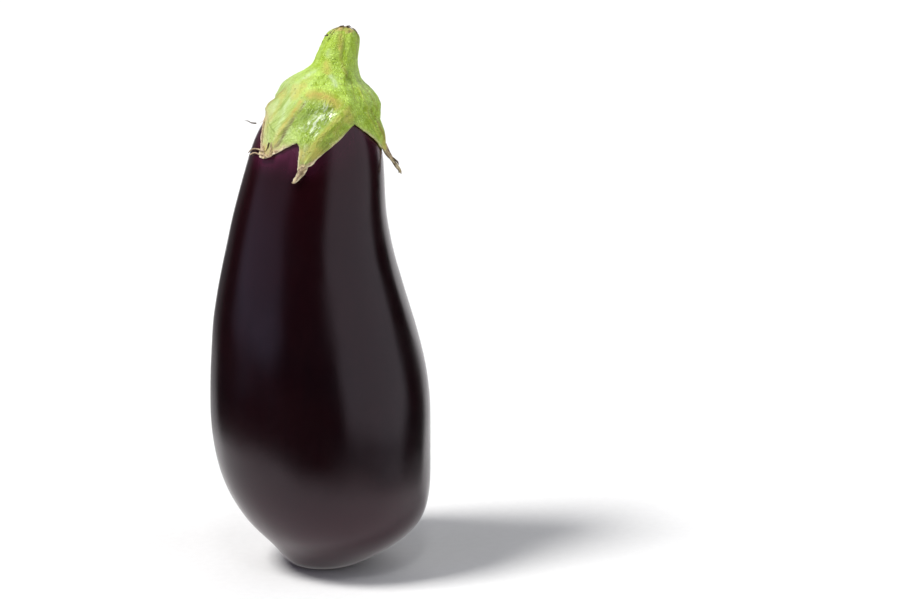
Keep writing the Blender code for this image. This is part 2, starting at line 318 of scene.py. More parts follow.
@dataclass
class FruitForm:
    """The fruit's outline and section, which the calyx lies on too."""

    table_rows: int = 3001
    slope_step: float = 1e-4
    round_share: float = 0.2
    clear_ease: float = 0.0003
    rows: Array = field(init=False)
    knots: Array = field(init=False)
    length: float = field(init=False)
    neck: Array = field(init=False)

    def __post_init__(self) -> None:
        """Runs the outline on past the top, so the top is round, and tables the upper half."""
        rows = outline_rows(FRUIT_OUTLINE, FRUIT_HEIGHT)
        over = 2 * rows[-1] - rows[-4:-1][::-1]
        over[:, 1] = rows[-4:-1][::-1, 1]
        self.rows = np.vstack((rows, over))
        steps = np.hypot(*np.diff(self.rows[:, :2], axis=0).T)
        self.knots = np.concatenate(([0], np.cumsum(steps)))
        self.length = self.knots[len(rows) - 1]
        profile = self.profile(np.linspace(0, 1, self.table_rows))
        self.neck = profile[np.argmax(profile[:, 0]) :]

    def profile(self, shares: Array) -> Array:
        """Reads the outline.

        Args:
            shares: Shares of its length, 0 at the flat spot and 1 at the top.

        Returns:
            A row for each: radius, height, shift in x and y, and the normal's part out and up.
        """
        places = np.asarray(shares) * self.length
        here = natural_spline(self.knots, self.rows, places)
        step = self.slope_step * self.length
        ahead = natural_spline(self.knots, self.rows, places + step)
        behind = natural_spline(self.knots, self.rows, np.maximum(places - step, 0))
        run = ahead[:, :2] - behind[:, :2]
        run /= np.hypot(run[:, 0], run[:, 1])[:, None]
        return np.column_stack((here, run[:, 1], -run[:, 0]))

    def swell(self, angle: Array, height: Array) -> Array:
        """How the section waves round the fruit, less toward both ends.

        Args:
            angle: Degrees round it.
            height: Metres up it.

        Returns:
            The radius there over the section's mean.
        """
        reach = self.round_share * FRUIT_HEIGHT
        end = step_from(height, 0, reach)
        top = step_from(height, FRUIT_HEIGHT, -reach)
        waves = sum(s * np.cos(np.radians(n * (angle - crest))) for n, s, crest in SECTION_WAVES)
        return 1 + waves * end * top

    def at_height(self, height: Array) -> list[Array]:
        """Radius and shifts of the upper half's section at a height."""
        return [np.interp(height, self.neck[:, 1], self.neck[:, i]) for i in (0, 2, 3)]

    def on_skin(self, angle: Array, height: Array, off: Array) -> Array:
        """Points off the skin of the upper half, at an angle and a height."""
        radius, shift_x, shift_y = self.at_height(height)
        return placed(radius * self.swell(angle, height) + off, height, shift_x, shift_y, angle)

    def over_skin(self, points: Array, least: float) -> Array:
        """Moves points out smoothly where they are too near the skin of the upper half.

        Args:
            points: The points, with x, y and z last.
            least: How far off the skin they have to be.

        Returns:
            The points, moved level.
        """
        radius, shift_x, shift_y = self.at_height(points[..., 2])
        middle = np.stack((shift_x, shift_y), axis=-1)
        arm = points[..., :2] - middle
        reach = np.maximum(np.hypot(arm[..., 0], arm[..., 1]), 1e-9)
        angle = np.degrees(np.arctan2(arm[..., 0], -arm[..., 1]))
        wanted = radius * self.swell(angle, points[..., 2]) + least
        spare = reach - wanted
        clear = wanted + (spare + np.hypot(spare, self.clear_ease)) / 2
        clear = np.where(points[..., 2] > FRUIT_HEIGHT, reach, clear)
        moved = middle + arm * (clear / reach)[..., None]
        return np.concatenate((moved, points[..., 2:]), axis=-1)


class MeshParts:
    """Points and faces gathered piece by piece, then made into one mesh object."""

    def __init__(self) -> None:
        """Starts empty."""
        self.points: list[Array] = []
        self.faces: list[tuple] = []
        self.kinds: list[int] = []
        self.marks: list[dict] = []
        self.count = 0

    def add(self, points: Array, **marks: object) -> Array:
        """Adds points.

        Args:
            points: The points.
            **marks: Values to keep for them by name, one for all or one for each.

        Returns:
            Their numbers.
        """
        points = np.atleast_2d(points)
        self.points.append(points)
        self.marks.append({name: np.broadcast_to(value, len(points)) for name, value in marks.items()})
        first = self.count
        self.count += len(points)
        return np.arange(first, self.count)

    def mark(self, name: str) -> Array:
        """A kept value for every point, 0 where none was given."""
        rows = zip(self.points, self.marks)
        return np.concatenate([marks.get(name, np.zeros(len(row))) for row, marks in rows]).astype(float)

    def face(self, corners: tuple, kind: int = 0) -> None:
        """Adds one face with the number of its material."""
        self.faces.append(tuple(int(c) for c in corners))
        self.kinds.append(kind)

    def rings(self, rings: list, kind: int = 0) -> None:
        """Adds quads between rings that are each closed on themselves.

        Args:
            rings: Point numbers, as many in each ring.
            kind: The number of the faces' material.
        """
        for a, b in zip(rings, rings[1:]):
            for i in range(len(a)):
                j = (i + 1) % len(a)
                self.face((a[i], a[j], b[j], b[i]), kind)

    def fan(self, ring: Array, middle: int, kind: int = 0) -> None:
        """Closes a ring with triangles to a middle point."""
        for i in range(len(ring)):
            self.face((ring[(i + 1) % len(ring)], ring[i], middle), kind)

    def all_points(self) -> Array:
        """Every point."""
        return np.vstack(self.points)

    def make(self, name: str, points: Array, materials: list, masks: dict) -> bpy.types.Object:
        """Makes the mesh object.

        Args:
            name: The piece's name.
            points: The points to use, in the order they were added.
            materials: The piece's materials, in the order of the faces' numbers.
            masks: Values to keep on the points by name, one or three for each point.

        Returns:
            The object, smooth and with its faces pointing out.
        """
        mesh = bpy.data.meshes.new(name)
        mesh.from_pydata(points.tolist(), [], self.faces)
        mesh.polygons.foreach_set("material_index", self.kinds)
        for material in materials:
            mesh.materials.append(material)
        for mask, values in masks.items():
            kind, entry = ("FLOAT", "value") if values.ndim == 1 else ("FLOAT_VECTOR", "vector")
            made = mesh.attributes.new(mask, kind, "POINT")
            made.data.foreach_set(entry, values.astype(np.float32).ravel())
        mesh.shade_smooth()
        mesh.update()
        thing = bpy.data.objects.new(name, mesh)
        bpy.context.scene.collection.objects.link(thing)
        return thing


def point_normals(points: Array, faces: list[tuple]) -> Array:
    """Each point's normal, from the faces round it.

    Args:
        points: The points.
        faces: Their triangles and quads.

    Returns:
        The normals.
    """
    quads = np.array([f if len(f) == 4 else (*f, f[2]) for f in faces])
    a, b, c, d = (points[quads[:, i]] for i in range(4))
    flat = np.cross(c - a, d - b)
    found = np.zeros_like(points)
    for i in range(4):
        np.add.at(found, quads[:, i], flat)
    return found / np.maximum(np.linalg.norm(found, axis=1), 1e-15)[:, None]


# Shader effects shared by the finishes.

class NodeSheet:
    """Short ways to add nodes to one shader tree and join them."""

    def __init__(self, tree: Tree) -> None:
        """Keeps the tree."""
        self.tree = tree

    def add(self, kind: str, inputs: dict | None = None, **settings: object) -> bpy.types.Node:
        """Adds a node.

        Args:
            kind: Its type without "ShaderNode", such as "Math".
            inputs: Socket name or number to a value, or to an output socket to join.
            **settings: The node's own settings.

        Returns:
            The node.
        """
        node = self.tree.nodes.new("ShaderNode" + kind)
        for name, value in settings.items():
            setattr(node, name, value)
        for socket, value in (inputs or {}).items():
            self.put(node.inputs[socket], value)
        return node

    def put(self, socket: Socket, value: object) -> None:
        """Joins an output to a socket, or sets the socket's own value.

        Args:
            socket: The socket.
            value: An output socket, a number, or a colour without its alpha.
        """
        if isinstance(value, Socket):
            self.tree.links.new(value, socket)
        elif isinstance(value, tuple) and len(value) == 3 and socket.type == "RGBA":
            socket.default_value = (*value, 1.0)
        else:
            socket.default_value = value

    def math(self, operation: str, a: object, b: object = 0.0, c: object = 0.0) -> Socket:
        """The result of one sum on one, two or three values."""
        return self.add("Math", {0: a, 1: b, 2: c}, operation=operation).outputs[0]

    def times(self, a: object, b: object) -> Socket:
        """One value times another."""
        return self.math("MULTIPLY", a, b)

    def weighted(self, parts: tuple, masks: dict, base: object = None) -> Socket:
        """Adds up masks by their weights.

        Args:
            parts: Each mask's name and weight, in order.
            masks: Mask name to its socket.
            base: What the sum starts from.

        Returns:
            The sum.
        """
        total = base
        for name, weight in parts:
            if total is None:
                total = self.times(masks[name], weight)
            else:
                total = self.math("MULTIPLY_ADD", masks[name], weight, total)
        return total

    def ramp(self, value: object, start: object, end: object, first: float = 0.0, last: float = 1.0) -> Socket:
        """A value carried smoothly from one range to another and held at its ends.

        Args:
            value: The value.
            start: Where its range starts.
            end: Where its range ends, above the start or below it.
            first: What it becomes at the start.
            last: What it becomes at the end.

        Returns:
            The carried value.
        """
        inputs = {"Value": value, "From Min": start, "From Max": end, "To Min": first, "To Max": last}
        return self.add("MapRange", inputs, interpolation_type="SMOOTHSTEP").outputs[0]

    def mix(self, share: object, a: object, b: object) -> Socket:
        """Two colours mixed by a share.

        Args:
            share: How much of the second shows.
            a: The first colour.
            b: The second.

        Returns:
            The mixed colour.
        """
        node = self.add("Mix", data_type="RGBA")
        for name, value in (("Factor_Float", share), ("A_Color", a), ("B_Color", b)):
            self.put(next(s for s in node.inputs if s.identifier == name), value)
        return next(s for s in node.outputs if s.identifier == "Result_Color")

    def mix_shaders(self, share: object, a: Socket, b: Socket) -> Socket:
        """Two shaders mixed by a share of the second."""
        return self.add("MixShader", {0: share, 1: a, 2: b}).outputs[0]

    def cloud(self, vector: Socket, scale: object, detail: object, **inputs: object) -> bpy.types.Node:
        """A noise texture of a scale, in cells to the metre."""
        return self.add("TexNoise", {"Vector": vector, "Scale": scale, "Detail": detail, **inputs})

    def parts_of(self, vector: Socket) -> tuple[Socket, Socket, Socket]:
        """A vector's x, y and z."""
        return tuple(self.add("SeparateXYZ", {0: vector}).outputs)


@dataclass(frozen=True)
class Mottle:
    """Slow patches: metres from one to the next, how crisp they are, and how many finer layers."""

    size: float
    contrast: float
    detail: float


@dataclass(frozen=True)
class Specks:
    """Scattered dots: the size of their cells in metres, the share that have one, and its size in a cell."""

    size: float
    share: float
    dot: float


@dataclass(frozen=True)
class Fibres:
    """Fibres along the vector's Z: metres from one to the next, and their length over that."""

    size: float
    stretch: float


@dataclass(frozen=True)
class Crackle:
    """Fine cells with lines between: the size of a cell in metres, and a line's share of it."""

    size: float
    line: float


class EffectSheet(NodeSheet):
    """The nodes of one shared effect, with its named inputs and its one output."""

    def __init__(self, name: str, inputs: dict, output: str) -> None:
        """Starts the effect, which reads a vector too.

        Args:
            name: The effect's name.
            inputs: Name of each other input to its usual value.
            output: The output's name.
        """
        super().__init__(bpy.data.node_groups.new(name, "ShaderNodeTree"))
        sockets = self.tree.interface
        sockets.new_socket("Vector", in_out="INPUT", socket_type="NodeSocketVector")
        for label, value in inputs.items():
            socket = sockets.new_socket(label, in_out="INPUT", socket_type="NodeSocketFloat")
            socket.default_value = value
        sockets.new_socket(output, in_out="OUTPUT", socket_type="NodeSocketFloat")
        self.entry = self.tree.nodes.new("NodeGroupInput")
        self.exit = self.tree.nodes.new("NodeGroupOutput")

    def given(self, name: str) -> Socket:
        """One of the effect's inputs."""
        return self.entry.outputs[name]

    def scale(self) -> Socket:
        """How many of its cells there are to the metre."""
        return self.math("DIVIDE", 1.0, self.given("Size"))

    def close(self, value: Socket) -> Tree:
        """Puts a value out and gives the finished effect."""
        self.put(self.exit.inputs[0], value)
        return self.tree


@dataclass
class Effects:
    """The shared effects, each built once, by the kind of pattern they draw."""

    trees: dict = field(init=False)

    def __post_init__(self) -> None:
        """Builds each effect."""
        self.trees = {
            Mottle: self.make_mottle(),
            Specks: self.make_specks(),
            Fibres: self.make_fibres(),
            Crackle: self.make_crackle(),
        }

    def make_mottle(self) -> Tree:
        """Builds the slow patches.

        Returns:
            The effect. Its Mask runs smoothly from 0 to 1.
        """
        sheet = EffectSheet("slow_mottle", {"Size": 0.01, "Contrast": 0.5, "Detail": 2.0}, "Mask")
        cloud = sheet.cloud(sheet.given("Vector"), sheet.scale(), sheet.given("Detail"), Roughness=0.55)
        half = sheet.times(sheet.given("Contrast"), -0.25)
        low = sheet.math("ADD", half, 0.38)
        high = sheet.math("SUBTRACT", 0.62, half)
        return sheet.close(sheet.ramp(cloud.outputs["Fac"], low, high))

    def make_specks(self) -> Tree:
        """Builds the scattered dots.

        Returns:
            The effect. Its Mask is 1 in a dot and 0 round it.
        """
        sheet = EffectSheet("fine_specks", {"Size": 0.002, "Share": 0.3, "Dot": 0.25}, "Mask")
        inputs = {"Vector": sheet.given("Vector"), "Scale": sheet.scale()}
        cells = sheet.add("TexVoronoi", inputs, feature="F1")
        split = sheet.add("SeparateColor", {"Color": cells.outputs["Color"]})
        chosen = sheet.math("LESS_THAN", split.outputs[0], sheet.given("Share"))
        size = sheet.times(sheet.given("Dot"), sheet.math("MULTIPLY_ADD", split.outputs[1], 0.8, 0.5))
        inside = sheet.ramp(cells.outputs["Distance"], size, sheet.times(size, 0.35))
        return sheet.close(sheet.times(chosen, inside))

    def make_fibres(self) -> Tree:
        """Builds the fibres.

        Returns:
            The effect. Its Mask is about 0.5.
        """
        sheet = EffectSheet("long_fibres", {"Size": 0.001, "Stretch": 12.0}, "Mask")
        x, y, z = sheet.parts_of(sheet.given("Vector"))
        squeezed = sheet.math("DIVIDE", z, sheet.given("Stretch"))
        joined = sheet.add("CombineXYZ", {0: x, 1: y, 2: squeezed})
        cloud = sheet.cloud(joined.outputs[0], sheet.scale(), 3.0, Roughness=0.6)
        return sheet.close(sheet.ramp(cloud.outputs["Fac"], 0.3, 0.7))

    def make_crackle(self) -> Tree:
        """Builds the cells with lines between.

        Returns:
            The effect. Its Height is 1 in a cell and 0 on a line.
        """
        sheet = EffectSheet("fine_crackle", {"Size": 0.001, "Line": 0.12}, "Height")
        place = sheet.given("Vector")
        scale = sheet.scale()
        bent = sheet.cloud(place, sheet.times(scale, 0.7), 2.0)
        inputs = {0: bent.outputs["Color"], 3: sheet.times(sheet.given("Size"), 0.8)}
        offset = sheet.add("VectorMath", inputs, operation="SCALE")
        moved = sheet.add("VectorMath", {0: place, 1: offset.outputs[0]}, operation="ADD")
        inputs = {"Vector": moved.outputs[0], "Scale": scale}
        cells = sheet.add("TexVoronoi", inputs, feature="DISTANCE_TO_EDGE")
        return sheet.close(sheet.ramp(cells.outputs["Distance"], 0.0, sheet.given("Line")))


@dataclass(frozen=True)
class Layer:
    """A colour laid over the ones before it.

    It shows by a mask. The mask counts by first alone, or by a second mask, named in by, that is carried
    from start and end to first and last.
    """

    colour: str
    mask: str
    by: str = ""
    start: float = 0.0
    end: float = 1.0
    first: float = 1.0
    last: float = 1.0


class FinishSheet(NodeSheet):
    """The nodes of one material, round its Principled shader."""

    def __init__(self, name: str, effects: Effects | None = None) -> None:
        """Starts the material.

        Args:
            name: The material's name.
            effects: The shared effects, if it uses them.
        """
        self.material = bpy.data.materials.new(name)
        self.material.use_nodes = True
        super().__init__(self.material.node_tree)
        self.effects = effects
        self.shader = self.tree.nodes["Principled BSDF"]
        self.place = self.add("TexCoord").outputs["Object"]

    def attribute(self, name: str, vector: bool = False) -> Socket:
        """A value kept on the mesh's points."""
        node = self.add("Attribute", attribute_name=name, attribute_type="GEOMETRY")
        return node.outputs["Vector" if vector else "Fac"]

    def pattern(self, pattern: object, vector: Socket | None = None) -> Socket:
        """Places a pattern's shared effect with its own values.

        Args:
            pattern: The pattern, such as a Mottle.
            vector: What it is drawn over, the piece's own place if nothing is given.

        Returns:
            The effect's mask or height.
        """
        values = {name.capitalize(): value for name, value in asdict(pattern).items()}
        inputs = {"Vector": self.place if vector is None else vector, **values}
        return self.add("Group", inputs, node_tree=self.effects.trees[type(pattern)]).outputs[0]

    def layered(self, colour: Socket, layers: tuple, masks: dict, paints: dict) -> Socket:
        """Lays colours over one another.

        Args:
            colour: The lowest colour.
            layers: The layers over it, in order.
            masks: Mask name to its socket.
            paints: Colour name to the colour.

        Returns:
            The colour with every layer on it.
        """
        for layer in layers:
            share = masks[layer.mask]
            if layer.by:
                by = self.ramp(masks[layer.by], layer.start, layer.end, layer.first, layer.last)
                share = self.times(share, by)
            elif layer.first != 1.0:
                share = self.times(share, layer.first)
            colour = self.mix(share, colour, paints[layer.colour])
        return colour

    def bump(self, strength: float, depth: float, height: Socket) -> Socket:
        """The normal over a height of a depth in metres."""
        return self.add("Bump", {"Strength": strength, "Distance": depth, "Height": height}).outputs[0]

    def dress(self, values: dict) -> Material:
        """Puts values on the shader's sockets.

        Args:
            values: Socket name to its value, or to an output socket to join.

        Returns:
            The finished material.
        """
        for name, value in values.items():
            self.put(self.shader.inputs[name], value)
        return self.material


@dataclass(frozen=True)
class SkinFinish:
    """The thin waxy skin: nearly black maroon, paler and pinker where the calyx shaded it as it grew, with
    painted bounce light from the floor toward the foot.

    Ranges are heights in metres, or values of the halo round the calyx. Weights are given by mask.
    """

    deep: tuple = (0.0052, 0.0013, 0.0026)
    maroon: tuple = (0.0094, 0.0018, 0.0030)
    neck: tuple = (0.0150, 0.0014, 0.0030)
    # Painted bounce light from the floor: the paler, pinker tone toward the foot.
    painted_floor_light: tuple = (0.0220, 0.0050, 0.0085)
    shaded: tuple = (0.1050, 0.0140, 0.0480)
    pale: tuple = (0.0900, 0.0380, 0.0560)
    pore: tuple = (0.10, 0.06, 0.05)
    scar: tuple = (0.150, 0.090, 0.050)
    sheen_tint: tuple = (1.0, 0.83, 0.91)
    patches: Mottle = Mottle(0.035, 0.2, 3.0)
    streaks: Fibres = Fibres(0.0022, 22.0)
    pores: Specks = Specks(0.0026, 0.10, 0.10)
    wax: Mottle = Mottle(0.012, 0.1, 4.0)
    cells: Crackle = Crackle(0.0009, 0.10)
    neck_range: tuple = (0.110, 0.190)
    blush_range: tuple = (0.052, 0.016)
    rim_range: tuple = (0.70, 1.0)
    tone_weights: tuple = (("patches", 0.65), ("streaks", 0.35))
    uneven_weights: tuple = (("patches", 0.3), ("streaks", 0.35))
    uneven_base: float = 0.5
    layers: tuple = (
        Layer("neck", "high"),
        # Painted bounce light from the floor, paler and pinker toward the foot.
        Layer("painted_floor_light", "low"),
        Layer("shaded", "under_calyx"),
        Layer("pale", "at_calyx"),
        Layer("pore", "pores", first=0.10),
        Layer("scar", "scar"),
    )
    roughness: float = 0.17
    rough_weights: tuple = (("wax", 0.05), ("halo", 0.10), ("scar", 0.5))
    height_weights: tuple = (("cells", 0.5), ("streaks", 0.5), ("pores", -1.0))
    bump_strength: float = 0.25
    crackle_depth: float = 0.00003

    def make(self, effects: Effects) -> Material:
        """Builds the material.

        Args:
            effects: The shared effects.

        Returns:
            The material.
        """
        sheet = FinishSheet(Slot.SKIN.value + "_finish", effects)
        masks = {name: sheet.attribute(name) for name in ("halo", "scar")}
        for name in ("patches", "streaks", "pores", "wax", "cells"):
            masks[name] = sheet.pattern(getattr(self, name))
        level = sheet.parts_of(sheet.place)[2]
        masks["high"] = sheet.ramp(level, *self.neck_range)
        masks["low"] = sheet.ramp(level, *self.blush_range)
        uneven = sheet.weighted(self.uneven_weights, masks, self.uneven_base)
        masks["under_calyx"] = sheet.times(masks["halo"], uneven)
        masks["at_calyx"] = sheet.times(sheet.ramp(masks["halo"], *self.rim_range), uneven)
        colour = sheet.mix(sheet.weighted(self.tone_weights, masks), self.deep, self.maroon)
        height = sheet.weighted(self.height_weights, masks)
        return sheet.dress({
            "Base Color": sheet.layered(colour, self.layers, masks, vars(self)),
            "Roughness": sheet.weighted(self.rough_weights, masks, self.roughness),
            "Specular Tint": self.sheen_tint,
            "Normal": sheet.bump(self.bump_strength, self.crackle_depth, height),
        })


@dataclass(frozen=True)
class SepalFinish:
    """The fleshy green calyx and stem: lime and olive patches, fibres, specks, tan ridges and dry edges.

    Ranges are places in metres or values of a mask, and then what it becomes there. Rubbed and faded are
    a gain and a base. Weights are given by mask. Painted light lifts the left side and the upper left
    shoulder, painted shade lowers the right side, highlights are painted on the web's wrinkles and round the
    stem's foot, and a painted contact shadow runs along the margins.
    """

    light: tuple = (0.68, 0.94, 0.17)
    soft: tuple = (0.49, 0.595, 0.165)
    olive: tuple = (0.30, 0.31, 0.045)
    mid: tuple = (0.40, 0.58, 0.018)
    deep: tuple = (0.20, 0.32, 0.004)
    # Pale frosty green for flecks and bloom, and for painted light and painted highlights.
    frost_and_painted_light: tuple = (0.62, 0.77, 0.40)
    # Painted highlight: a near-white colour for the wrinkle crests of the glossy web.
    wax: tuple = (0.80, 0.92, 0.60)
    tan: tuple = (0.58, 0.47, 0.10)
    rust: tuple = (0.66, 0.47, 0.17)
    cream: tuple = (0.84, 0.74, 0.50)
    brown: tuple = (0.13, 0.075, 0.028)
    # Painted contact shadow: a dark line along the sepals' margins.
    margin_contact_shadow: tuple = (0.060, 0.026, 0.012)
    husk: tuple = (0.66, 0.52, 0.30)
    speck: tuple = (0.15, 0.13, 0.030)
    patches: Mottle = Mottle(0.0062, 0.55, 4.0)
    fine: Mottle = Mottle(0.0017, 0.3, 4.0)
    blotch: Mottle = Mottle(0.0043, 0.9, 3.0)
    wrinkle: Mottle = Mottle(0.0009, 0.5, 3.0)
    pebbles: Crackle = Crackle(0.0012, 0.35)
    flecks: Specks = Specks(0.0011, 0.30, 0.34)
    specks: Specks = Specks(0.0013, 0.32, 0.25)
    fibre: Fibres = Fibres(0.0022, 5.0)
    streak: Fibres = Fibres(0.0013, 7.0)
    left_x: tuple = (-0.004, -0.013)
    left_y: tuple = (0.004, 0.0)
    right_x: tuple = (0.000, 0.016)
    # Painted light on the left and painted shade on the right, through the tone.
    left_tone: tuple = (0.0, 1.0, 1.0, 0.45)
    left_lift: float = 0.30
    tone_weights: tuple = (("fine", 0.50), ("patches", 0.42), ("fibre", 0.18))
    right_gain: float = -0.19
    tone_range: tuple = (0.08, 0.62)
    # Painted light on the upper left shoulder, in patches and less in the web.
    pale_x: tuple = (0.004, -0.012)
    pale_z: tuple = (0.207, 0.200)
    pale_patches: tuple = (0.1, 0.9, 0.35, 1.0)
    pale_valley: tuple = (0.0, 0.7, 1.0, 0.35)
    shine_range: tuple = (0.45, 0.75)
    rubbed: tuple = (0.5, 0.55)
    faded: tuple = (0.4, 0.6)
    husk_range: tuple = (0.3, 0.9, 0.0, 0.75)
    margin_range: tuple = (0.48, 0.20)
    edge_range: tuple = (0.19, 0.11)
    layers: tuple = (
        Layer("soft", "left", "patches", 0.0, 1.0, 0.95, 0.60),
        Layer("deep", "blotch", "left", 0.0, 1.0, 0.46, 0.40),
        Layer("olive", "dull", "streak", 0.1, 0.8, 0.50, 1.0),
        Layer("deep", "green", "streak", 0.2, 0.8, 0.6, 1.0),
        Layer("deep", "hollow", first=0.55),
        Layer("deep", "grit", "x", -0.004, 0.014, 0.27, 0.40),
        Layer("frost_and_painted_light", "flecks", "stem", 0.0, 1.0, 0.45, 0.15),
        # Painted light on the upper left shoulder.
        Layer("frost_and_painted_light", "pale", "streak", 0.2, 0.8, 0.62, 0.30),
        # Painted highlights round the stem's foot and along the veins, with some pale bloom.
        Layer("frost_and_painted_light", "bloom_and_painted_highlight", "fine", 0.0, 1.0, 1.0, 0.55),
        # Painted highlight on the wrinkle crests of the glossy web.
        Layer("wax", "painted_glint", first=0.90),
        Layer("mid", "stem", "patches", 0.2, 0.9, 0.50, 0.25),
        Layer("tan", "rubbed"),
        Layer("deep", "left", "streak", 0.55, 0.95, 0.0, 0.35),
        Layer("speck", "specks", first=0.70),
        Layer("husk", "faded"),
        Layer("brown", "crease"),
        Layer("dry_husk", "dry"),
        Layer("cream", "margin", "fine", 1.2, 0.5, 0.0, 1.0),
        # Painted contact shadow along the margins.
        Layer("margin_contact_shadow", "edge", "fine", 0.2, 0.9, 0.95, 0.5),
    )
    roughness: float = 0.36
    rough_weights: tuple = (("fine", 0.14), ("valley", -0.14), ("worn", 0.32), ("dry", 0.35))
    wet_weights: tuple = (("valley", 0.12), ("gloss", 0.85))
    wet_base: float = 0.06
    wet_ridge: tuple = (0.4, 0.0)
    coat_roughness: float = 0.17
    pebbly_x: tuple = (-0.010, 0.006, 0.35, 1.0)
    height_weights: tuple = (
        ("fine", 0.55), ("fibre", 0.35), ("raised_pebbles", 0.7), ("specks", -0.5), ("raised_wrinkle", 2.3)
    )
    bump_strength: float = 0.8
    fibre_depth: float = 0.00032

    def make(self, effects: Effects) -> Material:
        """Builds the material.

        Args:
            effects: The shared effects.

        Returns:
            The material.
        """
        sheet = FinishSheet(Slot.CALYX.value + "_finish", effects)
        masks = self.masks(sheet)
        husk = sheet.mix(masks["stem"], self.husk, self.rust)
        husk = sheet.mix(sheet.ramp(masks["fine"], *self.husk_range), husk, self.brown)
        colour = sheet.mix(self.tone(sheet, masks), self.mid, self.light)
        wet = sheet.weighted(self.wet_weights, masks, self.wet_base)
        height = sheet.weighted(self.height_weights, masks)
        return sheet.dress({
            "Base Color": sheet.layered(colour, self.layers, masks, {**vars(self), "dry_husk": husk}),
            "Roughness": sheet.weighted(self.rough_weights, masks, self.roughness),
            "Coat Weight": sheet.times(wet, sheet.ramp(masks["ridge"], *self.wet_ridge)),
            "Coat Roughness": self.coat_roughness,
            "Normal": sheet.bump(self.bump_strength, self.fibre_depth, height),
        })

    def masks(self, sheet: FinishSheet) -> dict:
        """Gathers the masks that the layers and the weights name.

        Args:
            sheet: The nodes.

        Returns:
            Mask name to its socket.
        """
        kept = "ridge", "crease", "valley", "dry", "gap", "fade", "stem", "dull", "bloom_and_painted_highlight", "green", "gloss"
        masks = {name: sheet.attribute(name) for name in kept}
        grain, combed = (sheet.attribute(name, vector=True) for name in ("grain", "combed"))
        for name in ("patches", "fine", "blotch", "pebbles", "flecks", "specks"):
            masks[name] = sheet.pattern(getattr(self, name))
        for name in ("fibre", "streak"):
            masks[name] = sheet.pattern(getattr(self, name), grain)
        masks["wrinkle"] = sheet.pattern(self.wrinkle, combed)
        x, y, z = sheet.parts_of(sheet.place)
        # Painted light: pale patches on the upper left shoulder.
        pale = sheet.times(sheet.ramp(x, *self.pale_x), sheet.ramp(masks["patches"], *self.pale_patches))
        pale = sheet.times(pale, sheet.ramp(z, *self.pale_z))
        hollow = sheet.math("MAXIMUM", masks["valley"], masks["gloss"])
        pebbly = sheet.math("MAXIMUM", masks["valley"], sheet.ramp(x, *self.pebbly_x))
        rubbed, faded = (sheet.math("MULTIPLY_ADD", masks["fine"], *pair) for pair in (self.rubbed, self.faded))
        return {
            **masks,
            "x": x,
            "left": sheet.times(sheet.ramp(x, *self.left_x), sheet.ramp(y, *self.left_y)),
            "right": sheet.ramp(x, *self.right_x),
            "hollow": hollow,
            "grit": sheet.math("SUBTRACT", 1.0, masks["pebbles"]),
            "pale": sheet.times(pale, sheet.ramp(masks["valley"], *self.pale_valley)),
            # The wrinkle crests of the glossy web, where the highlight is painted.
            "painted_glint": sheet.times(masks["gloss"], sheet.ramp(masks["wrinkle"], *self.shine_range)),
            "rubbed": sheet.times(masks["ridge"], rubbed),
            "faded": sheet.times(masks["fade"], faded),
            "margin": sheet.ramp(masks["gap"], *self.margin_range),
            # The margins' very edge, where the contact shadow is painted.
            "edge": sheet.ramp(masks["gap"], *self.edge_range),
            "worn": sheet.math("MAXIMUM", masks["ridge"], masks["crease"]),
            "raised_pebbles": sheet.times(masks["pebbles"], pebbly),
            "raised_wrinkle": sheet.times(masks["wrinkle"], hollow),
        }

    def tone(self, sheet: FinishSheet, masks: dict) -> Socket:
        """How light the green is, from 0 to 1, lifted on the left by painted light and lowered on the right by
        painted shade.

        Args:
            sheet: The nodes.
            masks: Mask name to its socket.

        Returns:
            The share of the light green.
        """
        tone = sheet.weighted(self.tone_weights, masks)
        held = sheet.times(tone, sheet.ramp(masks["left"], *self.left_tone))
        # Painted light lifts the left side, and painted shade lowers the right.
        tone = sheet.math("ADD", held, sheet.times(masks["left"], self.left_lift))
        tone = sheet.math("MULTIPLY_ADD", masks["right"], self.right_gain, tone)
        return sheet.ramp(tone, *self.tone_range)


